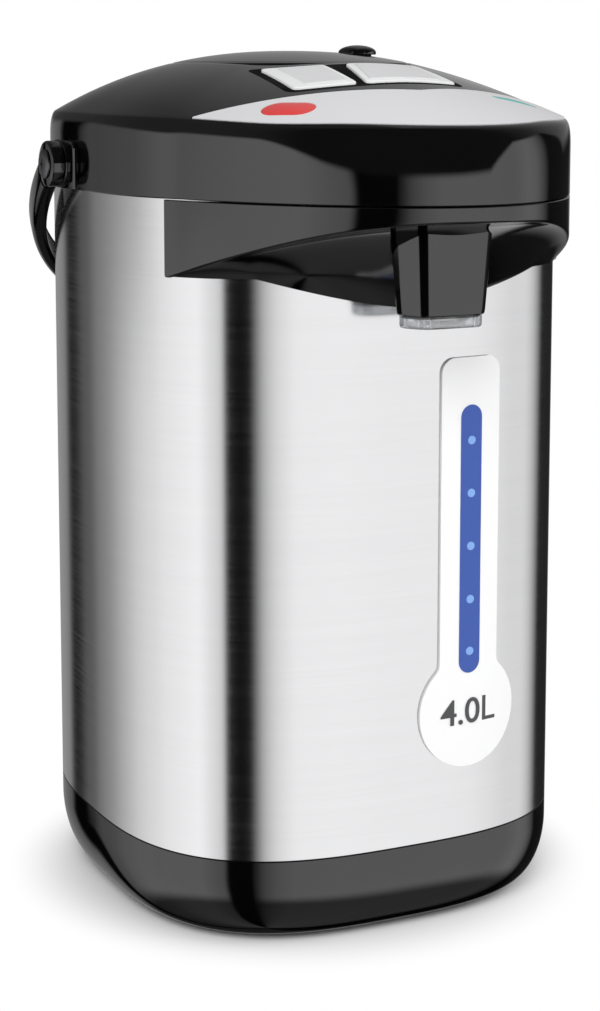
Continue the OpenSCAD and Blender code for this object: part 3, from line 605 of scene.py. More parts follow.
class Shape:
    """A mesh in millimetres that bmesh operators build up."""

    def __init__(self) -> None:
        """Starts empty."""
        self.bm = bmesh.new()

    def ring(self, points: Sequence[Vector]) -> Ring:
        """Closed loop of edges through the points."""
        made = bmesh.ops.create_circle(self.bm, segments=len(points), radius=1.0)["verts"]
        return self._put(made, points)

    def pull(self, ring: Ring, points: Sequence[Vector]) -> Ring:
        """Extrudes a loop of edges and puts the new loop through the points.

        Args:
            ring: The loop that is extruded.
            points: As many points as the loop has corners.

        Returns:
            The new loop.
        """
        made = bmesh.ops.extrude_edge_only(self.bm, edges=self._edges(ring))["geom"]
        fresh = {item for item in made if isinstance(item, bmesh.types.BMVert)}
        after = [next(e.other_vert(v) for e in v.link_edges if e.other_vert(v) in fresh) for v in ring]
        return self._put(after, points)

    def _edges(self, ring: Ring) -> list[bmesh.types.BMEdge]:
        """Edges of a loop."""
        return [self.bm.edges.get(pair) for pair in zip(ring, ring[1:] + ring[:1])]

    @staticmethod
    def _put(ring: Ring, points: Sequence[Vector]) -> Ring:
        """Moves the corners of a loop to the points."""
        for corner, point in zip(ring, points):
            corner.co = point
        return ring

    def loft(self, rings: Sequence[Sequence[Vector]], ends: str = "open") -> tuple[Ring, Ring]:
        """Joins loops one after another.

        Args:
            rings: The points of each loop.
            ends: "flat" closes both ends, and "joined" joins the last loop to the first.

        Returns:
            The first and the last loop.
        """
        first = last = self.ring(rings[0])
        for points in rings[1:]:
            last = self.pull(last, points)
        if ends == "flat":
            self.fill(first)
            self.fill(last)
        elif ends == "joined":
            self.bridge(last, first)
        return first, last

    def bridge(self, first: Ring, last: Ring) -> None:
        """Faces between two loops."""
        bmesh.ops.bridge_loops(self.bm, edges=self._edges(first) + self._edges(last))

    def fill(self, ring: Ring) -> None:
        """One flat face inside a loop."""
        bmesh.ops.contextual_create(self.bm, geom=ring)

    def crown(self, ring: Ring, centre: Vector) -> None:
        """Closes a loop with triangles to a point."""
        after = self.pull(ring, [centre] * len(ring))
        bmesh.ops.remove_doubles(self.bm, verts=after, dist=1e-4)

    def patch(self, columns: int, rows: int, place: Place) -> None:
        """Sheet of columns by rows cells.

        Args:
            columns: Cells across.
            rows: Cells along.
            place: The point for a pair of shares from 0 to 1.
        """
        made = bmesh.ops.create_grid(self.bm, x_segments=columns, y_segments=rows, size=0.5)["verts"]
        for corner in made:
            corner.co = place(corner.co.x + 0.5, corner.co.y + 0.5)
        bmesh.ops.remove_doubles(self.bm, verts=made, dist=1e-3)
        bmesh.ops.dissolve_degenerate(self.bm, dist=1e-4, edges=self.bm.edges)

    def thicken(self, depth: float) -> None:
        """Gives a sheet a wall behind it."""
        bmesh.ops.recalc_face_normals(self.bm, faces=self.bm.faces)
        bmesh.ops.solidify(self.bm, geom=self.bm.faces[:], thickness=depth)

    def box(self, low: Sequence[float], high: Sequence[float], round_off: float = 0.0) -> list:
        """Block between two corners, with rounded edges if wanted.

        Args:
            low: Lowest corner.
            high: Highest corner.
            round_off: Radius of the edges.

        Returns:
            The corners of the block.
        """
        low, high = Vector(low), Vector(high)
        made = bmesh.ops.create_cube(self.bm, size=1.0)["verts"]
        size = Matrix.Diagonal((*(high - low), 1.0))
        self.move(Matrix.Translation((low + high) / 2) @ size, made)
        if round_off:
            edges = list({e for v in made for e in v.link_edges})
            made = bmesh.ops.bevel(
                self.bm, geom=edges, offset=round_off,
                segments=3, profile=0.5, affect="EDGES", material=-1,
            )["verts"]
        return made

    def turned(self, profile: Profile, matrix: Matrix, steps: int = 64) -> None:
        """Solid of revolution.

        Args:
            profile: Pairs of radius and height from the bottom of the axis to its top.
            matrix: Where the solid's own axis, +Z, goes.
            steps: Sides of the solid.
        """
        part = bmesh.new()
        chain = [part.verts.new((r, 0.0, z)) for r, z in profile]
        edges = [part.edges.new(pair) for pair in zip(chain, chain[1:])]
        bmesh.ops.spin(
            part, geom=chain + edges, cent=(0, 0, 0), axis=(0, 0, 1),
            angle=TAU, steps=steps, use_merge=True,
        )
        bmesh.ops.remove_doubles(part, verts=part.verts, dist=1e-4)
        bmesh.ops.transform(part, matrix=matrix, verts=part.verts)
        carrier = bpy.data.meshes.new("carrier")
        part.to_mesh(carrier)
        part.free()
        self.bm.from_mesh(carrier)
        bpy.data.meshes.remove(carrier)

    def move(self, matrix: Matrix, corners: Sequence[bmesh.types.BMVert] | None = None) -> None:
        """Moves some corners of the shape, or all of them."""
        bmesh.ops.transform(self.bm, matrix=matrix, verts=corners or self.bm.verts)

    def to_object(self, name: str) -> bpy.types.Object:
        """Object in metres at the origin, its faces turned outwards, with nothing dressed yet."""
        bmesh.ops.recalc_face_normals(self.bm, faces=self.bm.faces)
        bmesh.ops.scale(self.bm, vec=(MM, MM, MM), verts=self.bm.verts)
        mesh = bpy.data.meshes.new(name)
        self.bm.to_mesh(mesh)
        self.bm.free()
        return placed(name, mesh)


def carve(target: bpy.types.Object, tool: Shape) -> None:
    """Takes a shape away from an object.

    Args:
        target: The object that is cut.
        tool: What is cut from it. It is used up.
    """
    cutter = tool.to_object("cutter")
    cut = target.modifiers.new("cut", "BOOLEAN")
    cut.operation, cut.solver, cut.object, cut.use_self = "DIFFERENCE", "EXACT", cutter, True
    evaluated = target.evaluated_get(bpy.context.evaluated_depsgraph_get())
    carved = bpy.data.meshes.new_from_object(evaluated)
    target.modifiers.clear()
    target.data = carved
    bpy.data.objects.remove(cutter)


def dress(made: bpy.types.Object, body: str, look: Look, nodes: Sequence[str] = ()) -> bpy.types.Object:
    """Gives an object its finish, shading and body, and hides the CAD nodes that it stands for.

    Args:
        made: The object.
        body: The body that it rides on.
        look: Its finish.
        nodes: CAD nodes that it replaces.

    Returns:
        The same object.
    """
    made.data.materials.clear()
    made.data.materials.append(look.finish.material())
    made.data.shade_smooth()
    made.data.set_sharp_from_angle(angle=SHARP)
    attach(made, body)
    if nodes:
        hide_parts(*nodes)
    log.info("%s: %d faces, rides on %s", made.name, len(made.data.polygons), body)
    return made


def carried(node: str, body: str, look: Look) -> bpy.types.Object:
    """Smoothly shaded copy of a CAD node that keeps its shape.

    Args:
        node: The node's name.
        body: The body that it rides on.
        look: Its finish.

    Returns:
        The copy, which replaces the node.
    """
    part = bmesh.new()
    part.from_mesh(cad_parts[node].data)
    bmesh.ops.remove_doubles(part, verts=part.verts, dist=1e-6)
    mesh = bpy.data.meshes.new(node + ".part")
    part.to_mesh(mesh)
    part.free()
    return dress(placed(node + ".part", mesh), body, look, [node])


def upright(x: float, y: float, z: float) -> Matrix:
    """Frame with its axis along +Z at a point."""
    return Matrix.Translation((x, y, z))


def sideways(x: float, y: float, z: float) -> Matrix:
    """Frame with its axis along +X at a point."""
    return Matrix.Translation((x, y, z)) @ Matrix.Rotation(math.radians(90), 4, "Y")


# ---- Base and steel body ----


@dataclass
class Base:
    """Black base moulding with its bottom cover, feet, screws and mains inlet."""

    outline: Superellipse = BODY
    low: float = 2.0
    round_z: float = 28.0
    inset: float = 12.0
    top: float = 36.0
    wall: float = 2.6
    cover_half: float = 80.6
    ledge_half: float = 74.0
    sides: int = 256
    round_steps: int = 18
    rim_soft: float = 0.5
    cover_seat: Profile = ((0.4, 2.0), (0.0, 2.4), (0.0, 4.4))
    ledge_z: tuple[float, float] = (4.4, 6.4)
    inner_wall: Profile = ((-6.0, 8.4), (0.0, 22.0), (0.0, 36.0))
    inlet_z: float = 21.0
    inlet_half: tuple[float, float] = (13.5, 9.5)
    inlet_gap: float = 0.3
    inlet_wall: float = 2.0
    inlet_y: tuple[float, float, float] = (78.0, 81.0, 98.2)
    beyond: float = 110.0
    screw_at: float = 60.2
    screw_profile: Profile = (
        (0, 1.0), (2.2, 1.0), (2.8, 1.4), (3.0, 2.2), (1.5, 2.3), (1.5, 5.0), (0, 5.0),
    )
    recess: tuple[float, float] = (1.7, 0.4)
    recess_z: tuple[float, float] = (0.2, 1.9)
    foot_at: float = 50.0
    foot_profile: Profile = ((0, 0), (6.2, 0), (6.8, 0.25), (7.0, 0.9), (7.0, 2.2), (0, 2.2))

    def section(self) -> list[tuple[float, float]]:
        """Steps of the moulding's outside: growth of the outline and height."""
        steps = [(-self.rim_soft, self.top), (0.0, self.top - self.rim_soft), (0.0, self.round_z)]
        for k in range(1, self.round_steps + 1):
            t = math.radians(90 * k / self.round_steps)
            inward, down = self.inset * (1 - math.cos(t)), (self.round_z - self.low) * math.sin(t)
            steps.append((-inward, self.round_z - down))
        return steps

    def shell(self) -> None:
        """Outside, underside and inner wall of the moulding, with the hole for the inlet."""
        halves = (self.cover_half, self.ledge_half)
        cover, ledge = (Superellipse(half, half + 1, half + 1, BODY.power) for half in halves)
        runs = (
            (self.outline, self.section()),
            (cover, self.cover_seat),
            (ledge, [(0.0, z) for z in self.ledge_z]),
            (self.outline, [(grow - self.wall, z) for grow, z in self.inner_wall]),
        )
        shape = Shape()
        rings = [form.loop(z, grow, self.sides) for form, steps in runs for grow, z in steps]
        shape.loft(rings, "joined")
        made = shape.to_object("base_moulding")
        hole = Shape()
        w, h = (half + self.inlet_gap for half in self.inlet_half)
        hole.box((-w, 80, self.inlet_z - h), (w, self.beyond, self.inlet_z + h))
        carve(made, hole)
        dress(made, "housing", Look.BLACK, ["base_housing"])

    def feet(self) -> None:
        """Four turned rubber feet with a rounded edge."""
        shape = Shape()
        for x, y in four(self.foot_at):
            shape.turned(self.foot_profile, upright(x, y, 0), 48)
        dress(shape.to_object("feet"), "housing", Look.FOOT, ["rubber_feet"])

    def screws(self) -> None:
        """Bottom screws with a cross recess."""
        shape, cross = Shape(), Shape()
        low, high = self.recess_z
        for x, y in four(self.screw_at):
            shape.turned(self.screw_profile, upright(x, y, 0), 32)
            for w, d in (self.recess, self.recess[::-1]):
                cross.box((x - w, y - d, low), (x + w, y + d, high))
        made = shape.to_object("bottom_screws")
        carve(made, cross)
        dress(made, "housing", Look.ZINC, ["base_screws"])

    def inlet(self) -> None:
        """Mains inlet with a rounded flange round its socket."""
        (w, h), z = self.inlet_half, self.inlet_z
        inside, floor, face = self.inlet_y
        shape, hollow = Shape(), Shape()
        shape.box((-w, inside, z - h), (w, face, z + h), 1.0)
        made = shape.to_object("mains_inlet")
        w, h = w - self.inlet_wall, h - self.inlet_wall
        hollow.box((-w, floor, z - h), (w, self.beyond, z + h), 1.5)
        carve(made, hollow)
        dress(made, "housing", Look.DARK, ["power_inlet"])

    def build(self) -> None:
        """Everything of the base."""
        self.shell()
        carried("base_cover", "housing", Look.DARK)
        self.feet()
        self.screws()
        self.inlet()
        carried("inlet_pins", "housing", Look.BRASS)


@dataclass
class SteelBody:
    """Brushed steel sheet round the pot, with its lapped seam at the rear."""

    low: float = 36.0
    high: float = 292.0
    wall: float = 1.0
    soft: float = 0.15
    between: tuple[float, float] = (100.0, 200.0)
    sides: int = 320
    seam_deg: tuple[float, float] = (92.6, 5.2)
    seam_end: float = 0.4
    seam_proud: float = 0.35

    def sheet(self) -> None:
        """The sheet, with both edges softened."""
        low, high, soft = self.low, self.high, self.soft
        steps = [(0.0, z) for z in (low + soft, *self.between, high - soft)]
        steps += [(-soft, high), (-self.wall, high), (-self.wall, low), (-soft, low)]
        shape = Shape()
        shape.loft([BODY.loop(z, grow, self.sides) for grow, z in steps], "joined")
        dress(shape.to_object("steel_sheet"), "housing", Look.SHEET, ["body_shell"])

    def seam(self) -> None:
        """The strip where the sheet laps over itself."""
        first, span = self.seam_deg
        low, length = self.low + self.seam_end, self.high - self.low - 2 * self.seam_end

        def place(u: float, v: float) -> Vector:
            """Point of the strip's face for a share across and a share of its height."""
            return BODY.point(math.radians(first - span * u), low + v * length, self.seam_proud)

        strip = Shape()
        strip.patch(8, 1, place)
        strip.thicken(self.seam_proud + 0.05)
        dress(strip.to_object("steel_seam"), "housing", Look.SHEET)

    def build(self) -> None:
        """The sheet and its seam."""
        self.sheet()
        self.seam()


# ---- Upper housing, hood and nozzle ----


@dataclass(frozen=True)
class LidForm:
    """Outline of the lid and the height of its top."""

    outline: Superellipse = Superellipse(47.0, 65.0, 65.0, 2.0, 13.0)
    skirt_z: float = 328.0
    gap: float = 0.6
    edge_drop: float = 5.0
    rear_drop: float = 9.2
    power: float = 2.2

    def height(self, angle: float, share: float) -> float:
        """Height of the lid's top at a share of the way out to its edge."""
        fall = self.edge_drop + self.rear_drop * max(0.0, math.sin(angle)) ** 4
        return DOME.top - fall * share**self.power

    def from_axis(self, angle: float, grow: float) -> float:
        """Distance of the grown outline from the body's axis, found by halving.

        Args:
            angle: Direction from the body's axis in radians.
            grow: How far the outline is grown.

        Returns:
            The distance in millimetres.
        """
        low, high = 1.0, 120.0
        for _ in range(32):
            r = (low + high) / 2
            x, y = r * math.cos(angle), r * math.sin(angle) - self.outline.centre_y
            inside = math.hypot(x, y) < self.outline.radius(math.atan2(y, x), grow)
            low, high = (r, high) if inside else (low, r)
        return low


LID = LidForm()


@dataclass(frozen=True)
class KeyForm:
    """Outline of a button: a block between two arcs round the body's axis, with rounded corners."""

    rear_x: tuple[float, float]
    front_x: tuple[float, float]
    rear: float = 58.5
    front: float = 90.5
    corner: float = 2.2

    def outline(self, grow: float, per_side: int = 14) -> list[Vector]:
        """Points round the grown outline, counter-clockwise in plan, at height 0."""
        (a0, a1), (b0, b1) = self.rear_x, self.front_x
        r0, r1 = self.rear - grow, self.front + grow
        c = max(0.3, self.corner + grow)
        corners = ((b0 - grow, r1), (b1 + grow, r1), (a1 + grow, r0), (a0 - grow, r0))
        found = rounded([Vector(corner) for corner in corners], [c] * 4, 6, per_side)
        return [Vector((p.x, -math.sqrt(p.y**2 - p.x**2), 0.0)) for p in found]

    def middle(self) -> Vector:
        """Middle of the outline, at height 0."""
        x, r = sum(self.rear_x + self.front_x) / 4, (self.rear + self.front) / 2
        return Vector((x, -math.sqrt(r * r - x * x), 0.0))


@dataclass(frozen=True)
class PillForm:
    """Outline of a lamp lens: a slot with round ends, turned in plan."""

    x: float
    y: float
    half: float
    radius: float
    turn: float

    def outline(self, grow: float, per_end: int = 20) -> list[Vector]:
        """Points round the grown outline, counter-clockwise in plan, at height 0."""
        r = self.radius + grow
        spin = Matrix.Rotation(math.radians(self.turn), 3, "Z")
        found = []
        for side, facing in ((1, 0.0), (-1, math.pi)):
            for k in range(per_end + 1):
                a = math.pi * k / per_end - math.pi / 2 + facing
                found.append(spin @ Vector((side * self.half + r * math.cos(a), r * math.sin(a), 0)))
        return [p + self.middle() for p in found]

    def middle(self) -> Vector:
        """Middle of the outline, at height 0."""
        return Vector((self.x, self.y, 0.0))


@dataclass(frozen=True)
class PadForm:
    """Flat pads on the collar's sides, which the bail's pivots stand on."""

    front: float = 6.0
    rear: float = 30.0
    low: float = 292.0
    top: float = 311.4
    face: float = 98.2
    corner: float = 3.0
    cut_x: float = 98.0
    cut_half: float = 7.0
    slack: float = 0.02


PAD = PadForm()
UNLOCK = KeyForm((-38.5, -16.5), (-41.0, -18.2))
DISPENSE = KeyForm((-8.0, 26.2), (-14.8, 25.3))
UNLOCK_PAD = KeyForm((-34.2, -18.6), (-35.6, -20.0), 60.8, 87.2, 1.6)
DISPENSE_PAD = KeyForm((-5.6, 21.0), (-12.0, 20.0), 60.8, 87.6, 1.6)
BOIL = PillForm(-52.0, -99.0, 4.2, 6.2, -46.0)
WARM = PillForm(44.0, -99.5, 9.0, 1.8, 9.0)
EDGE_STEPS = 4
CROWN_SHARES = (0.94, 0.86, 0.74, 0.58, 0.4, 0.2)
ABOVE_DECK = (310.0, 360.0)


def on_deck(point: Vector, rise: float) -> Vector:
    """The point lifted to a height above the dome."""
    return Vector((point.x, point.y, DOME.deck(point.x, point.y) + rise))


def upright_prism(outline: Sequence[Vector], low: float, high: float) -> Shape:
    """Closed prism over an outline between two heights."""
    shape = Shape()
    shape.loft([[Vector((p.x, p.y, z)) for p in outline] for z in (low, high)], "flat")
    return shape


def cut_outlines(made: bpy.types.Object, forms: Sequence[KeyForm | PillForm], gap: float) -> None:
    """Cuts openings through a piece on the deck, with a gap round what goes into them."""
    for form in forms:
        carve(made, upright_prism(form.outline(gap), *ABOVE_DECK))


def deck_block(form: KeyForm | PillForm, proud: float, depth: float, crown: float, edge: float) -> Shape:
    """Block that follows the dome, such as a button or a lens.

    Args:
        form: Its outline.
        proud: How far the edge of its top stands above the dome.
        depth: How far it reaches below the dome.
        crown: How much higher its middle is than its edge; below 0 it is dished.
        edge: Radius of its top edge.

    Returns:
        The closed shape.
    """
    rings = [[on_deck(p, rise) for p in form.outline(0.0)] for rise in (-depth, proud - edge)]
    for k in range(1, EDGE_STEPS + 1):
        t = math.radians(90 * k / EDGE_STEPS)
        fall, inward = edge * (1 - math.sin(t)), edge * (1 - math.cos(t))
        rings.append([on_deck(p, proud - fall) for p in form.outline(-inward)])
    rim, middle = form.outline(-edge), form.middle()
    for share in CROWN_SHARES:
        lift = crown * (1 - share**2)
        rings.append([on_deck(middle.lerp(p, share), proud + lift) for p in rim])
    shape = Shape()
    first, last = shape.loft(rings)
    shape.crown(last, on_deck(middle, proud + crown))
    shape.fill(first)
    return shape


@dataclass
class UpperHousing:
    """Collar and dome in one moulding, with the filling neck, the label, a matt sheet of painted shade
    round the keys, and the lamps.
    """

    low: float = 292.0
    wall: float = 2.6
    ledge: float = 304.0
    sides: int = 288
    dome_steps: int = 26
    key_gap: float = 0.4
    lens_gap: float = 0.05
    notch: tuple[float, float, float, float] = (27.2, 65.5, 90.4, 319.0)
    hinge: tuple[float, float] = (84.0, 331.0)
    lid_turns: tuple[float, ...] = (8.0, 15.0, 22.0)
    foot_soft: float = 0.35
    lip: float = 0.8
    neck: float = 2.4
    ledge_back: float = 8.0
    label_tip: float = 79.0
    label_inset: float = 1.2
    label_v: tuple[float, float, float] = (-104.0, 31.0, 1.2)
    label_proud: float = 0.45
    label_depth: float = 0.6
    # Outline of the painted shade sheet round the keys, and how far it rises above the deck.
    shade_outline: KeyForm = KeyForm((-41.6, 29.2), (-44.4, 28.4), 55.6, 93.2, 4.0)
    shade_rise: float = 0.05

    def section(self, a: float) -> list[Vector]:
        """Closed section of the moulding in the half plane at an angle.

        Args:
            a: Angle of the half plane in radians.

        Returns:
            Points in plan and height, from the lower outer edge over the dome and back inside.
        """
        out, reach, rim = ray(a), DOME.radius(a), DOME.rim_z(a)
        soft, down = DOME.rounding(a)

        def at(r: float, z: float) -> Vector:
            """Point of the half plane."""
            return out * r + UP * z

        def dome(r: float, fall: float = 0.0) -> Vector:
            """Point on the dome, or below it."""
            return at(r, DOME.height(a, r / reach) - fall)

        mouth = LID.from_axis(a, LID.gap)
        inner, neck = reach - self.wall, mouth + self.neck
        found = [at(reach - self.foot_soft, self.low), at(reach, self.low + self.foot_soft)]
        found += arc(at(reach, rim - down), at(reach, rim), dome(reach - soft), 14)
        start, end = reach - soft, mouth + self.lip
        found += [dome(start + (end - start) * k / self.dome_steps) for k in range(1, self.dome_steps)]
        top = dome(mouth).z
        found += arc(dome(end), at(mouth, top), at(mouth, top - self.lip), 4)
        found += [at(mouth, self.ledge + self.ledge_back), at(mouth, self.ledge)]
        found += [at(neck, self.ledge), dome(neck, self.wall)]
        found += [dome(neck + (inner - neck) * k / 8, self.wall) for k in range(1, 8)]
        found += [at(inner, rim - self.wall), at(inner, self.low)]
        return found

    def moulding(self) -> None:
        """The moulding itself, with its openings cut."""
        sections = [self.section(a) for a in angles(self.sides)]
        shape = Shape()
        shape.loft([list(ring) for ring in zip(*sections)], "joined")
        made = shape.to_object("upper_moulding")
        cut_outlines(made, (UNLOCK, DISPENSE), self.key_gap)
        cut_outlines(made, (BOIL, WARM), self.lens_gap)
        w, y0, y1, z = self.notch
        tool = Shape()
        tool.box((-w, y0, z), (w, y1, ABOVE_DECK[1]))
        carve(made, tool)
        at = Matrix.Translation((0, *self.hinge))
        mouth = LID.outline.loop(0, LID.gap, 160)
        for turn in self.lid_turns:
            tool = upright_prism(mouth, LID.skirt_z, DOME.top + 2.4)
            tool.move(at @ Matrix.Rotation(math.radians(-turn), 4, "X") @ at.inverted())
            carve(made, tool)
        for side in (-1, 1):
            tool = Shape()
            x, slack = side * PAD.cut_x, PAD.slack
            low = (x - PAD.cut_half, PAD.front - slack, self.low - 2)
            tool.box(low, (x + PAD.cut_half, PAD.rear + slack, PAD.top + slack))
            carve(made, tool)
        dress(made, "housing", Look.BLACK, ["upper_housing"])

    def label(self) -> None:
        """Silver film between a shallow V and the edge of the beak."""
        tip = self.label_tip
        middle, rise, power = self.label_v

        def chevron(x: float) -> float:
            """Rear edge of the film."""
            return middle + rise * (abs(x) / tip) ** power

        start = math.atan2(chevron(tip), tip)

        def place(u: float, v: float) -> Vector:
            """Point of the film for a share across and a share towards the edge."""
            x = tip * (2 * u - 1)
            a = -math.pi - start + (math.pi + 2 * start) * u
            front = ray(a, DOME.radius(a) - max(self.label_inset, DOME.rounding(a)[0] + 0.3))
            return on_deck(Vector((x, chevron(x), 0)).lerp(front, v), self.label_proud)

        film = Shape()
        film.patch(120, 24, place)
        film.thicken(self.label_depth)
        made = film.to_object("control_film")
        cut_outlines(made, (BOIL, WARM), self.lens_gap)
        dress(made, "housing", Look.LABEL, ["control_label"])

    def lamps(self) -> None:
        """Crowned lenses of the two lamps."""
        red = deck_block(BOIL, proud=0.4, depth=self.wall, crown=0.6, edge=0.3)
        dress(red.to_object("boil_lens"), "housing", Look.RED, ["boil_lamp_lens"])
        teal = deck_block(WARM, proud=0.45, depth=self.wall, crown=0.4, edge=0.25)
        dress(teal.to_object("warm_lens"), "housing", Look.TEAL, ["warm_lamp_lens"])

    def paint_key_shade(self) -> None:
        """Matt black sheet in the deck round both keys and between them, which paints the shade there.
        """
        rise, middle = self.shade_rise, self.shade_outline.middle()
        edge = self.shade_outline.outline(0.0, 30)
        rings = [[on_deck(p, -0.6) for p in edge], [on_deck(p, rise) for p in edge]]
        shares = (0.9, 0.75, 0.6, 0.45, 0.3, 0.15)
        rings += [[on_deck(middle.lerp(p, share), rise) for p in edge] for share in shares]
        film = Shape()
        first, last = film.loft(rings)
        film.fill(first)
        film.crown(last, on_deck(middle, rise))
        # This sheet is painted shade round and between the keys.
        made = film.to_object("key_shade_sheet")
        cut_outlines(made, (UNLOCK, DISPENSE), self.key_gap)
        dress(made, "housing", Look.KEY_SHADE)

    def build(self) -> None:
        """The moulding and what is fixed to its deck."""
        self.moulding()
        carried("filling_neck", "housing", Look.BLACK)
        self.label()
        self.paint_key_shade()
        self.lamps()


@dataclass
class Spout:
    """Lower half of the beak with its arched lip, the nozzle block and the clear tip."""

    from_deg: float = -144.0
    to_deg: float = -36.0
    steps: int = 120
    top: float = 291.6
    lip_top: float = 285.6
    lip_drop: float = 23.1
    lip_half: float = 86.0
    seat_side: float = 262.5
    seat_drop: float = 12.5
    seat_half: float = 60.0
    cove_power: float = 1.7
    foot_soft: float = 0.35
    lip_soft: float = 1.5
    nozzle_y: float = -122.0
    nozzle_top: tuple[float, float] = (19.8, 12.1)
    nozzle_low: tuple[float, float] = (17.4, 10.4)
    nozzle_z: tuple[float, float, float] = (284.0, 281.0, 251.2)
    taper: float = 30.0
    foot_in: float = 0.9
    foot_round: float = 1.2
    tip_half: tuple[float, float] = (16.4, 9.4)
    tip_bore: float = 5.5
    tip_steps: Profile = (
        (250.0, 0.2), (249.4, 0.0), (246.4, 0.0), (245.6, 0.5), (245.6, 1.8), (246.4, 2.2), (249.0, 2.2),
    )
    tip_rib: Profile = ((0, 245.8), (0.7, 246.0), (0.7, 249.2), (0, 249.4))
    corners: Profile = ((0.62, -1), (0.79, -0.8), (1, -0.15), (1, 0.3), (0.8, 0.85), (0.62, 1))

    def lip_z(self, x: float) -> float:
        """Height of the lip."""
        return self.lip_top - self.lip_drop * min(1.0, abs(x) / self.lip_half) ** 2.9

    def seat_z(self, x: float) -> float:
        """Height at which the underside meets the steel."""
        return self.seat_side - self.seat_drop * (1 - min(1.0, abs(x) / self.seat_half) ** 1.4)

    def section(self, a: float) -> list[Vector]:
        """Closed section of the hood in the half plane at an angle."""
        out, outer, inner = ray(a), DOME.radius(a), BODY.radius(a) + 0.3
        lip = self.lip_z(outer * math.cos(a))
        seat = min(lip - 0.4, self.seat_z(BODY.radius(a) * math.cos(a)))

        def at(r: float, z: float) -> Vector:
            """Point of the half plane."""
            return out * r + UP * z

        def cove(t: float) -> Vector:
            """Point of the underside, from the lip at 0 to the steel at 1."""
            return at(outer + (inner - outer) * t, lip - (lip - seat) * t**self.cove_power)

        soft = min(0.4, self.lip_soft / max(self.lip_soft, outer - inner) * 1.2)
        found = [at(outer - self.foot_soft, self.top), at(outer, self.top - self.foot_soft)]
        found += arc(at(outer, lip + self.lip_soft), at(outer, lip), cove(soft), 5)
        found += [cove(soft + (1 - soft) * k / 14) for k in range(1, 15)]
        found.append(at(inner, self.top))
        return found

    def hood(self) -> None:
        """The hood, lofted from one end of its arch to the other."""
        span = self.to_deg - self.from_deg
        turns = [math.radians(self.from_deg + span * k / self.steps) for k in range(self.steps + 1)]
        shape = Shape()
        shape.loft([self.section(a) for a in turns], "flat")
        dress(shape.to_object("spout_cover"), "housing", Look.BLACK, ["spout_hood"])

    def plan(self, half_x: float, half_y: float, z: float) -> list[Vector]:
        """Outline of the nozzle at a height: flat front, chamfered corners and faceted flanks."""
        half = [(half_x * across, half_y * along) for across, along in self.corners]
        ends = half + [(-x, y) for x, y in reversed(half)]
        return rounded([Vector((x, self.nozzle_y + y, z)) for x, y in ends], [0.6] * len(ends), 4, 3)

    def nozzle(self) -> None:
        """Tapered nozzle block with a flared top and a rounded lower edge."""
        (w, d), (low_w, low_d) = self.nozzle_top, self.nozzle_low
        top, shoulder, foot = self.nozzle_z
        rings = [self.plan(w, d, top), self.plan(w, d, shoulder)]
        for t in (0.25, 0.5, 0.75, 0.96):
            rings.append(self.plan(w + (low_w - w) * t, d + (low_d - d) * t, shoulder - self.taper * t))
        for t in (0.2, 0.6, 1.0):
            inward = self.foot_in * t
            z = foot - self.foot_round * math.sqrt(t)
            rings.append(self.plan(low_w - inward, low_d - inward, z))
        shape = Shape()
        shape.loft(rings, "flat")
        made = shape.to_object("nozzle_block")
        bore = Shape()
        bore.turned([(0, 240), (3.6, 240), (3.6, 283), (0, 283)], upright(0, self.nozzle_y, 0), 32)
        carve(made, bore)
        dress(made, "housing", Look.BLACK, ["spout_nozzle"])

    def tip(self) -> None:
        """Clear tip: a rim with small ribs round its skirt."""
        w, d = self.tip_half
        rings = [self.plan(w - inset, d - inset, z) for z, inset in self.tip_steps]
        middle = Vector((0, self.nozzle_y, 0))
        ways = [(Vector((p.x, p.y, 0)) - middle).normalized() for p in rings[0]]
        bore = [middle + way * self.tip_bore for way in ways]
        rings += [[p + UP * z for p in bore] for z in (249.4, 250.0)]
        shape = Shape()
        shape.loft(rings, "joined")
        for spot in self.plan(w - 0.8, d - 0.8, 0)[::5]:
            shape.turned(self.tip_rib, upright(spot.x, spot.y, 0), 12)
        dress(shape.to_object("clear_tip"), "housing", Look.CLEAR, ["outlet_tip"])

    def build(self) -> None:
        """Everything under the beak."""
        self.hood()
        self.nozzle()
        self.tip()


# ---- Level gauge ----


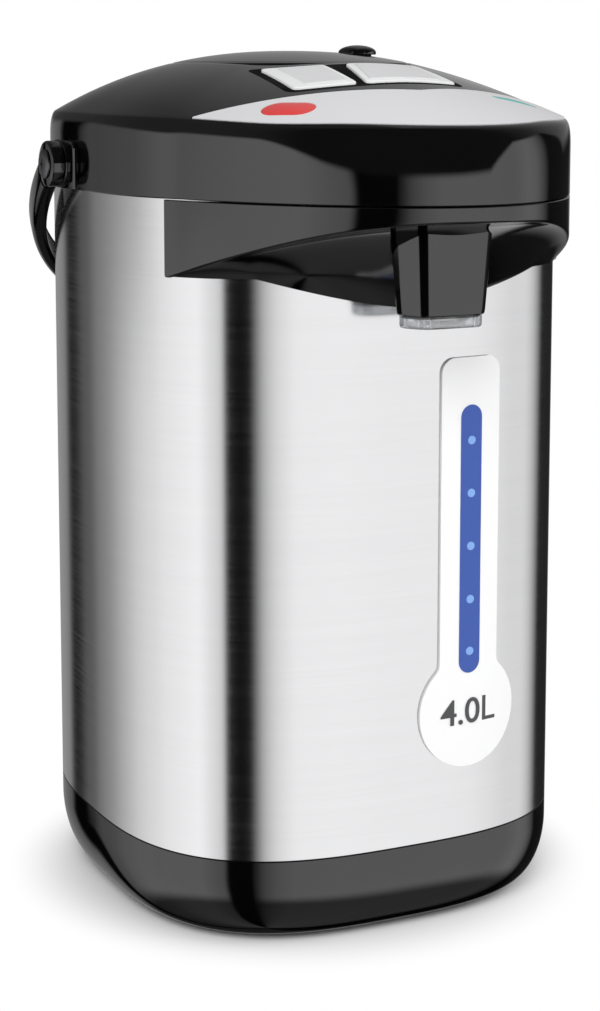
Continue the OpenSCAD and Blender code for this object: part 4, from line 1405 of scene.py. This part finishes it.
@dataclass
class Gauge:
    """White panel with its dial, the blue strip with five dots, and the capacity in figures."""

    x: float = 27.6
    stem_half: float = 13.7
    stem_top: float = 229.5
    corner: float = 6.0
    dial_z: float = 87.7
    dial_r: float = 22.6
    strip_half: float = 4.9
    strip_z: tuple[float, float] = (103.2, 210.7)
    dots: tuple[float, ...] = (112.1, 133.1, 154.5, 175.7, 196.7)
    dot_profile: Profile = ((0, 0), (1.7, 0), (1.7, 0.2), (1.4, 0.24), (0, 0.25))
    figures: str = "4.0L"
    figure_height: float = 10.4
    figure_stretch: float = 1.06
    figure_weight: float = 0.006
    plate_proud: float = 1.1
    figure_proud: float = 1.16
    strip_proud: float = 1.3
    dot_proud: float = 1.32

    def face(self, x: float, z: float, proud: float) -> Vector:
        """Point in front of the steel body."""
        depth = (1 - (abs(x) / BODY.half_w) ** BODY.power) ** (1 / BODY.power)
        return Vector((x, -BODY.front * depth - proud, z))

    def panel_half(self, z: float) -> float:
        """Half width of the panel at a height."""
        dial = math.sqrt(max(0.0, self.dial_r**2 - (z - self.dial_z) ** 2))
        over = z - (self.stem_top - self.corner)
        stem = self.stem_half
        if over > 0:
            stem += math.sqrt(max(0.0, self.corner**2 - over**2)) - self.corner
        if z < self.dial_z:
            return dial
        blend = math.sqrt((dial - stem) ** 2 + 1.2)
        return 0.5 * (dial + stem + blend) if over <= 0 else stem

    def strip_width(self, z: float) -> float:
        """Half width of the strip at a height."""
        low, high = self.strip_z
        end = max(low + self.strip_half - z, z - high + self.strip_half, 0.0)
        return math.sqrt(max(0.0, self.strip_half**2 - end**2))

    def wrapped(
        self, half: Callable[[float], float], low: float, high: float,
        proud: float, rows: int, columns: int,
    ) -> Shape:
        """Plate that lies on the body, with a width that depends on height.

        Args:
            half: Half width at a height.
            low: Lowest height.
            high: Highest height.
            proud: How far its face stands out of the steel.
            rows: Cells along its height.
            columns: Cells across.

        Returns:
            The closed shape.
        """

        def place(u: float, v: float) -> Vector:
            """Point of the plate's face; rows crowd at both ends."""
            z = low + (high - low) * 0.5 * (1 - math.cos(math.pi * v))
            return self.face(self.x + (2 * u - 1) * half(z), z, proud)

        shape = Shape()
        shape.patch(columns, rows, place)
        shape.thicken(proud + 0.3)
        return shape

    def panel(self) -> None:
        """The white panel, with a softened edge."""
        low = self.dial_z - self.dial_r
        shape = self.wrapped(self.panel_half, low, self.stem_top, self.plate_proud, 150, 20)
        dress(shape.to_object("gauge_plate"), "housing", Look.WHITE, ["gauge_panel"])

    def strip(self) -> None:
        """The blue strip and its dots."""
        shape = self.wrapped(self.strip_width, *self.strip_z, self.strip_proud, 80, 10)
        dress(shape.to_object("gauge_strip"), "housing", Look.BLUE, ["gauge_window"])
        dots = Shape()
        turn = Matrix.Rotation(math.radians(90), 4, "X")
        for z in self.dots:
            spot = self.face(self.x, z, self.dot_proud)
            dots.turned(self.dot_profile, Matrix.Translation(spot) @ turn, 24)
        dress(dots.to_object("gauge_dots"), "housing", Look.DOT)

    def numerals(self) -> None:
        """The capacity in raised ink on the dial."""
        curve = bpy.data.curves.new("numerals", "FONT")
        curve.body, curve.size, curve.align_x, curve.align_y = self.figures, 1.0, "CENTER", "CENTER"
        curve.offset, curve.resolution_u = self.figure_weight, 6
        carrier = placed("numerals", curve)
        evaluated = carrier.evaluated_get(bpy.context.evaluated_depsgraph_get())
        flat = bpy.data.meshes.new_from_object(evaluated)
        bpy.data.objects.remove(carrier)
        shape = Shape()
        shape.bm.from_mesh(flat)
        bmesh.ops.remove_doubles(shape.bm, verts=shape.bm.verts, dist=1e-5)
        xs, ys = [v.co.x for v in shape.bm.verts], [v.co.y for v in shape.bm.verts]
        size = self.figure_height / (max(ys) - min(ys))
        mid_x, mid_y = (max(xs) + min(xs)) / 2, (max(ys) + min(ys)) / 2
        for corner in shape.bm.verts:
            across, along = corner.co.x - mid_x, corner.co.y - mid_y
            x, z = self.x + across * size * self.figure_stretch, self.dial_z + along * size
            corner.co = self.face(x, z, self.figure_proud)
        shape.thicken(0.25)
        dress(shape.to_object("dial_figures"), "housing", Look.INK)

    def build(self) -> None:
        """Everything of the gauge."""
        self.panel()
        self.strip()
        self.numerals()
        carried("level_tube", "housing", Look.TUBE)


# ---- Buttons ----


@dataclass
class Buttons:
    """The unlock and dispense buttons, dished for a fingertip, with their springs."""

    proud: float = 1.2
    pad_rise: float = 0.35
    depth: float = 4.4
    stem_r: float = 2.6
    stem_low: float = 320.4

    def key(self, name: str, form: KeyForm, pad: KeyForm, stem: tuple[float, float]) -> None:
        """One button with its stem, and the raised pad for the fingertip on it."""
        raised = deck_block(pad, self.proud, depth=2.0, crown=-0.25, edge=0.5)
        dress(raised.to_object(name + "_pad"), name, Look.KEY_PAD)
        shape = deck_block(form, self.proud - self.pad_rise, self.depth, crown=0.0, edge=0.5)
        r, low, top = self.stem_r, self.stem_low, DOME.deck(*stem) - 3.0
        shape.turned([(0, low), (r, low), (r, top), (0, top)], upright(*stem, 0), 32)
        dress(shape.to_object(name + "_key"), name, Look.KEY, [name + "_button"])

    def build(self) -> None:
        """Both buttons and both springs."""
        self.key("unlock", UNLOCK, UNLOCK_PAD, (-28.6, -71.0))
        self.key("dispense", DISPENSE, DISPENSE_PAD, (8.5, -75.0))
        carried("unlock_spring", "housing", Look.SPRING)
        carried("dispense_spring", "housing", Look.SPRING)


# ---- Lid ----


@dataclass
class Lid:
    """Domed lid with its steam vent, liner and hinge."""

    skin: float = 2.4
    edge: float = 1.0
    foot_soft: float = 0.3
    sides: int = 256
    vent: tuple[float, float] = (29.0, 4.0)
    vent_foot: Profile = ((0, 346.0), (7.7, 346.0), (8.0, 346.3), (7.98, 347.0))
    vent_rise: float = 3.0
    vent_slots: int = 8
    slot_x: tuple[float, float] = (6.6, 12.0)
    slot_half: float = 0.8
    slot_z: tuple[float, float] = (346.5, 347.1)

    def cover(self) -> None:
        """The lid's cover, a shallow cap."""
        turn = angles(self.sides)
        form, low, skin = LID.outline, LID.skirt_z, self.skin

        def ring(share: float, drop: float = 0.0, grow: float = 0.0) -> list[Vector]:
            """Loop on the lid's top, or below it."""
            return [form.point(a, LID.height(a, share) - drop, grow, share) for a in turn]

        rings = [form.loop(low, -self.foot_soft, self.sides)]
        rings.append(form.loop(low + self.foot_soft, 0.0, self.sides))
        for t in (0.0, 0.25, 0.5, 0.75, 1.0):
            rings.append(ring(1.0, self.edge * (1 - t) ** 2, -self.edge * t * t))
        rings += [ring(share) for share in (0.96, 0.92, 0.86, 0.78, 0.68, 0.56, 0.42, 0.28, 0.14)]
        shape = Shape()
        first, last = shape.loft(rings)
        shape.crown(last, Vector((0, form.centre_y, DOME.top)))
        inside = [form.loop(low, -skin, self.sides)]
        inside += [ring(share, skin, -skin) for share in (1.0, 0.8, 0.5, 0.2)]
        rim, top = shape.loft(inside)
        shape.crown(top, Vector((0, form.centre_y, DOME.top - skin)))
        shape.bridge(first, rim)
        dress(shape.to_object("lid_top"), "lid", Look.BLACK, ["lid_cover"])

    def vent_cap(self) -> None:
        """Round vent cap with slots under its brim."""
        r, z = self.vent_foot[-1]
        bows = [math.radians(a) for a in range(9, 90, 9)]
        dome = ((r * math.cos(a), z + self.vent_rise * math.sin(a)) for a in bows)
        profile = [*self.vent_foot, *dome]
        profile.append((0, z + self.vent_rise))
        shape, slots = Shape(), Shape()
        shape.turned(profile, upright(*self.vent, 0), 72)
        made = shape.to_object("vent_cap")
        (near, far), half, (low, high) = self.slot_x, self.slot_half, self.slot_z
        for turn in angles(self.vent_slots):
            corners = slots.box((near, -half, low), (far, half, high))
            slots.move(upright(*self.vent, 0) @ Matrix.Rotation(turn, 4, "Z"), corners)
        carve(made, slots)
        dress(made, "lid", Look.BLACK, ["steam_vent_cap"])

    def build(self) -> None:
        """The lid, its inside and its hinge."""
        self.cover()
        self.vent_cap()
        carried("lid_liner", "lid", Look.DARK)
        carried("inner_lid_plate", "lid", Look.TANK)
        carried("lid_gasket", "lid", Look.SILICONE)
        carried("lid_hinge_arm", "lid", Look.BLACK)
        carried("hinge_bracket", "housing", Look.BLACK)
        carried("hinge_pin", "housing", Look.ZINC)


# ---- Carrying bail ----


@dataclass
class Bail:
    """Carrying bail: a channel with ribs along its arms and a closed grip, on two pivots."""

    half_w: float = 103.0
    reach: float = 129.0
    hang: float = 57.5
    pivot: tuple[float, float] = (18.0, 302.0)
    start: float = 4.0
    band_w: float = 6.4
    band_t: float = 3.0
    grip: float = 3.0
    grip_rise: float = 1.5
    channel: float = 2.4
    flange: float = 1.5
    steps: int = 150
    hub_in: float = 100.4
    hub_out: float = 105.6
    hub_r: float = 9.4
    hub_bore: float = 4.05
    boss_gap: float = 0.3
    boss_from: float = 96.0
    boss_r: float = 9.2
    pin_r: float = 4.0
    rib_half: float = 0.35
    rib_end: float = 0.9
    rib_sink: float = 0.3
    rib_deg: float = 1.5
    head: Profile = ((0, 0), (6.0, 0), (5.9, 0.5), (5.0, 1.0), (3.0, 1.2), (0, 1.2))
    recess: tuple[float, float, float] = (0.6, 2.2, 0.5)
    outer_half: Profile = (
        (0.0, 1.0), (0.3, 0.995), (0.55, 0.95), (0.76, 0.82), (0.9, 0.58), (0.98, 0.22), (1.0, -0.25),
        (0.985, -0.75), (0.95, -0.96),
    )

    def axle(self, side: int) -> Matrix:
        """Frame with its axis outwards along the pivots, on the right (1) or the left (-1)."""
        right = sideways(0, *self.pivot)
        return right if side == 1 else Matrix.Scale(-1, 4, (1, 0, 0)) @ right

    def hung(self) -> Matrix:
        """From the bail's own plane to where it hangs."""
        return Matrix.Translation((0, *self.pivot)) @ Matrix.Rotation(math.radians(self.hang), 4, "X")

    def frame_at(self, t: float) -> tuple[Vector, Vector, float, float]:
        """Place and size of the band's section at an angle.

        Args:
            t: Angle along the bail in radians, 0 at one pivot and pi at the other.

        Returns:
            The middle, the outward unit vector, and the section's half width and half height.
        """
        point = Vector((self.half_w * math.cos(t), 0, -self.reach * math.sin(t)))
        out = Vector((math.cos(t) / self.half_w, 0, -math.sin(t) / self.reach)).normalized()
        grip = max(0.0, math.sin(t)) ** 6
        return point, out, self.band_w + self.grip * grip, self.band_t + self.grip_rise * grip

    def depth_at(self, t: float) -> float:
        """Depth of the channel, which fades out at the hubs and the grip."""
        s = math.sin(t)
        return self.channel * ease((s - 0.2) / 0.08) * (1 - ease((s - 0.84) / 0.08))

    def section(self, t: float) -> list[Vector]:
        """Section of the band: rounded outside, channel inside."""
        point, out, w, h = self.frame_at(t)
        d, f = self.depth_at(t), self.flange
        half = [(across * w, up * h) for across, up in self.outer_half]
        half += [(w - f * 0.7, -h), (w - f, -h + min(0.3, d)), (w - f - 0.2, -h + d), (0.3 * w, -h + d)]
        loop = half + [(-a, b) for a, b in reversed(half) if a > 0]
        return [point + out * b + Vector((0, a, 0)) for a, b in loop]

    def band(self) -> None:
        """The band from hub to hub."""
        start = math.radians(self.start)
        span = math.pi - 2 * start
        rows = [self.section(start + span * k / self.steps) for k in range(self.steps + 1)]
        shape = Shape()
        shape.loft(rows, "flat")
        self.ribs(shape)
        shape.move(self.hung())
        made = shape.to_object("bail_band")
        tool = Shape()
        for side in (-1, 1):
            seat = [(0, -8), (self.hub_r, -8), (self.hub_r, 8), (0, 8)]
            tool.turned(seat, sideways(side * self.half_w, *self.pivot))
        carve(made, tool)
        dress(made, "handle", Look.BLACK, ["handle_bail"])

    def ribs(self, shape: Shape) -> None:
        """Cross ribs in the channel of both arms."""
        for k in range(9, 60):
            t = math.radians(self.rib_deg * k)
            depth = self.depth_at(t)
            if depth < 0.8 * self.channel:
                continue
            for side in (t, math.pi - t):
                point, out, w, h = self.frame_at(side)
                across = Vector((0, 1, 0))
                basis = Matrix((across.cross(out), across, out)).transposed().to_4x4()
                low = (-self.rib_half, self.rib_end - w, self.rib_sink - h)
                corners = shape.box(low, (self.rib_half, w - self.rib_end, self.rib_sink - h + depth))
                shape.move(Matrix.Translation(point) @ basis, corners)

    def hubs(self) -> None:
        """Hub discs that turn on the pivots."""
        shape = Shape()
        i, o, r, bore = self.hub_in, self.hub_out, self.hub_r, self.hub_bore
        profile = [(bore, i), (r - 0.5, i), (r, i + 0.5), (r, o - 0.9), (r - 0.3, o - 0.3), (r - 1, o)]
        profile += [(bore, o), (bore, i)]
        for side in (-1, 1):
            shape.turned(profile, self.axle(side), 72)
        dress(shape.to_object("bail_hubs"), "handle", Look.BLACK, ["handle_hubs"])

    def pivots(self) -> None:
        """Fixed bosses and their screws, with a cross recess in each head."""
        boss, screw, cross = Shape(), Shape(), Shape()
        i, o = self.hub_in - self.boss_gap, self.hub_out + self.boss_gap
        r, pin = self.boss_r, self.pin_r
        profile = [(0, self.boss_from), (r, self.boss_from), (r, i - 0.5), (r - 0.5, i)]
        profile += [(pin, i), (pin, o), (0, o)]
        ends = [(PAD.front, PAD.low), (PAD.rear, PAD.low), (PAD.rear, PAD.top), (PAD.front, PAD.top)]
        outline = rounded([Vector((0, *end)) for end in ends], (0.4, 0.4, PAD.corner, PAD.corner), 8)
        middle = sum(outline, Vector()) / len(outline)
        loops = [(91.0, 1.0), (PAD.face - 0.5, 1.0), (PAD.face - 0.15, 0.99), (PAD.face, 0.965)]
        deep, far, near = self.recess
        for side in (-1, 1):
            boss.turned(profile, self.axle(side), 64)
            away = Vector((side, 0, 0))
            rings = [[middle.lerp(p, share) + away * x for p in outline] for x, share in loops]
            boss.loft(rings, "flat")
            screw.turned([(r, o + rise) for r, rise in self.head], self.axle(side), 48)
            x, y, z = side * (o + self.head[-1][1]), *self.pivot
            for h, v in ((far, near), (near, far)):
                cross.box((x - deep, y - h, z - v), (x + deep, y + h, z + v))
        dress(boss.to_object("bail_pivots"), "housing", Look.BLACK, ["handle_pivots"])
        made = screw.to_object("bail_screws")
        carve(made, cross)
        dress(made, "housing", Look.SCREW, ["pivot_screws"])

    def build(self) -> None:
        """Everything of the bail."""
        self.band()
        self.hubs()
        self.pivots()


# ---- Inside ----


@dataclass
class Inside:
    """The pieces inside, each with its finish."""

    housing: dict[str, Look] = field(default_factory=lambda: {
        "tank_support": Look.FRAME, "inner_tank": Look.TANK, "tank_seal": Look.SILICONE,
        "tie_rods": Look.ZINC, "heater_plate": Look.CAST, "thermostats": Look.CERAMIC,
        "thermal_fuse": Look.CERAMIC, "pump_motor": Look.CAN, "pump_housing": Look.PUMP,
        "inlet_hose": Look.SILICONE, "riser_hose": Look.SILICONE, "outlet_hose": Look.SILICONE,
        "hose_clips": Look.SPRING, "control_board": Look.BOARD, "button_switches": Look.DARK,
        "indicator_leds": Look.LED, "board_screws": Look.ZINC,
    })
    rotor: dict[str, Look] = field(
        default_factory=lambda: {"motor_rotor": Look.IRON, "pump_impeller": Look.PUMP}
    )

    def build(self) -> None:
        """Every inner node with its finish."""
        for node, look in self.housing.items():
            carried(node, "housing", look)
        for node, look in self.rotor.items():
            carried(node, "rotor", look)


# ---- Studio ----


@dataclass
class Studio:
    """White floor and surroundings, soft light, and the camera."""

    camera_at: tuple[float, float, float] = (-394.32, -821.18, 342.53)
    pan: float = -25.65
    tilt: float = -7.77
    lens: float = 77.23
    shift: tuple[float, float] = (0.0005, -0.145)
    around: float = 0.56
    facing: float = -120.0
    shadow_reach: tuple[float, float] = (0.09, 0.038)
    floor_r: float = 4000.0
    # Grey of the floor near the pot: painted shade on top of the rendered shadow.
    painted_shade_grey: float = 0.9
    card_soft: float = 0.07
    low_cards_z: tuple[float, float] = (-0.105, 0.11)
    beneath_z: tuple[float, float] = (-0.64, 0.14)
    lamps: tuple[tuple[str, tuple[float, float, float], float, float], ...] = (
        ("key_lamp", (-1100, -1300, 1500), 1.2, 26.0),
        ("fill_lamp", (1500, -900, 1100), 1.4, 14.0),
    )
    lamp_aim: tuple[float, float, float] = (0.0, 0.0, 170.0)
    beneath: Profile = ((-180, 0.14), (-110, 0.2), (110, 0.2), (180, 0.14))
    ceiling: Profile = (
        (-180, 0.38), (-170, 0.27), (-160, 0.13), (-150, 0.1), (-130, 0.1), (-76, 0.14),
        (-60, 0.11), (-42, 0.04), (100, 0.04), (130, 0.12), (150, 0.22), (170, 0.36), (180, 0.38),
    )
    card_tops: Profile = (
        (-180, 0.02), (-152, 0.02), (-130, 0.12), (-60, 0.12), (-35, 0.06), (0, 0.06), (70, 0.08),
        (100, 0.34), (135, 0.3), (150, 0.02), (180, 0.02),
    )
    cards: Profile = (
        (-180, 0.42), (-168, 0.32), (-148, 0.31), (-140.5, 0.27), (-137, 0.003), (-130.4, 0.003),
        (-129, 0.24), (-124, 0.27), (-109, 0.44), (-98, 0.56), (-88, 0.76), (-78, 0.97),
        (-64, 1.15), (-46, 1.24), (-34, 1.0), (-26, 0.86), (-22.2, 0.003), (-4, 0.003), (0, 0.24),
        (5, 0.62), (13, 0.95), (24, 1.18), (45, 1.2), (72, 1.14), (95, 0.94), (110, 0.94),
        (119, 0.7), (133, 0.02), (165, 0.02), (180, 0.42),
    )
    low_cards: Profile = (
        (-180, 0.0), (-129, 0.0), (-121, 0.06), (-114, 0.16), (-107, 0.22), (-100, 0.3),
        (-92, 0.26), (-84, 0.15), (-74, 0.08), (-64, 0.0), (180, 0.0),
    )

    def camera(self) -> None:
        """Camera at the viewpoint."""
        data = bpy.data.cameras.new("camera")
        data.sensor_width, data.lens = 36.0, self.lens
        data.shift_x, data.shift_y = self.shift
        data.clip_start, data.clip_end = 0.05, 50.0
        made = placed("camera", data)
        made.location = Vector(self.camera_at) * MM
        made.rotation_euler = (math.radians(90 + self.tilt), 0.0, math.radians(self.pan))
        bpy.context.scene.camera = made

    def floor(self) -> None:
        """Round floor: near the pot a grey paper holds the rendered shadow with painted shade added, and
        it fades into the white surroundings farther away.
        """
        shape = Shape()
        shape.fill(shape.ring([ray(a, self.floor_r) for a in angles(64)]))
        made = shape.to_object("floor")
        material = bpy.data.materials.new("floor_white")
        material.use_nodes = True
        graph = Graph(material.node_tree)
        # The paper's grey near the pot is painted shade that deepens the rendered shadow there.
        shade_paper = graph.node("ShaderNodeBsdfDiffuse", None, {"Color": (*(self.painted_shade_grey,) * 3, 1.0)})
        white = graph.node("ShaderNodeEmission", None, {"Color": (1.0, 1.0, 1.0, 1.0), "Strength": 1.0})
        away = graph.node("ShaderNodeVectorMath", {"operation": "LENGTH"}, {0: graph.places()}, "Value")
        reach, fade = self.shadow_reach
        plain = away.above(reach + fade / 2, fade) * self.plain_view(graph)
        surface = graph.node("ShaderNodeMixShader", None, {0: plain, 1: shade_paper, 2: white})
        graph.node("ShaderNodeOutputMaterial", None, {"Surface": surface})
        made.data.materials.append(material)
        made.visible_glossy = False

    @staticmethod
    def plain_view(graph: Graph) -> Wire:
        """1 for what the camera sees straight or through something clear, 0 for other rays."""
        seen = graph.node("ShaderNodeLightPath", output="Is Camera Ray")
        through = graph.node("ShaderNodeLightPath", output="Is Transmission Ray")
        return seen + through - seen * through

    def surroundings(self) -> None:
        """World: white to the camera, even to matt surfaces, and cards of light to glossy ones."""
        world = bpy.data.worlds.new("studio")
        bpy.context.scene.world = world
        world.use_nodes = True
        graph = Graph(world.node_tree)
        toward = graph.node("ShaderNodeTexCoord", output="Generated")
        turned = graph.node(
            "ShaderNodeVectorRotate",
            {"rotation_type": "Z_AXIS"},
            {"Vector": toward, "Angle": math.radians(-self.facing)},
        )
        split = graph.tree.nodes.new("ShaderNodeSeparateXYZ")
        graph.tree.links.new(turned.socket, split.inputs[0])
        x, y, z = (Wire(graph, split.outputs[k]) for k in range(3))
        bearing = graph.node("ShaderNodeMath", {"operation": "ARCTAN2"}, {0: y, 1: x})
        place = bearing / TAU + 0.5
        top = max(level for _, level in self.cards)
        card = graph.by_bearing(place, self.cards, top) * top
        edge = graph.by_bearing(place, self.card_tops)
        over = ((z - edge) / self.card_soft + 0.5).above(0.5, 1.0)
        under = 1 - z.above(*self.beneath_z)
        low = graph.by_bearing(place, self.low_cards) * (1 - z.above(*self.low_cards_z))
        level = (card + low) * (1 - over) + over * graph.by_bearing(place, self.ceiling)
        level = level * (1 - under) + under * (graph.by_bearing(place, self.beneath) * card)
        path = graph.node("ShaderNodeLightPath", output="Is Glossy Ray")
        plain = self.plain_view(graph)
        strength = plain + (1 - plain) * (path * level + (1 - path) * self.around)
        white = {"Color": (1.0, 1.0, 1.0, 1.0), "Strength": strength}
        light = graph.node("ShaderNodeBackground", None, white)
        graph.node("ShaderNodeOutputWorld", None, {"Surface": light})

    def lamp(self, name: str, at: tuple[float, float, float], size: float, power: float) -> None:
        """Square soft lamp that points at the pot and shows in no reflection."""
        data = bpy.data.lights.new(name, "AREA")
        data.shape, data.size, data.energy = "SQUARE", size, power
        made = placed(name, data)
        made.location = Vector(at) * MM
        made.rotation_euler = (Vector(self.lamp_aim) - Vector(at)).to_track_quat("-Z", "Y").to_euler()
        made.visible_glossy = False

    def build(self) -> None:
        """Camera, floor, surroundings and lamps."""
        bpy.context.scene.view_settings.view_transform = "Standard"
        self.camera()
        self.floor()
        self.surroundings()
        for lamp in self.lamps:
            self.lamp(*lamp)


def main() -> None:
    """Builds the pot and its studio."""
    logging.basicConfig(level=logging.INFO, format="%(message)s")
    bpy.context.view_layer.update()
    for assembly in (Studio, Base, SteelBody, UpperHousing, Spout, Gauge, Buttons, Lid, Bail, Inside):
        assembly().build()
        log.info("built %s", assembly.__name__)


if __name__ == "__main__":
    main()
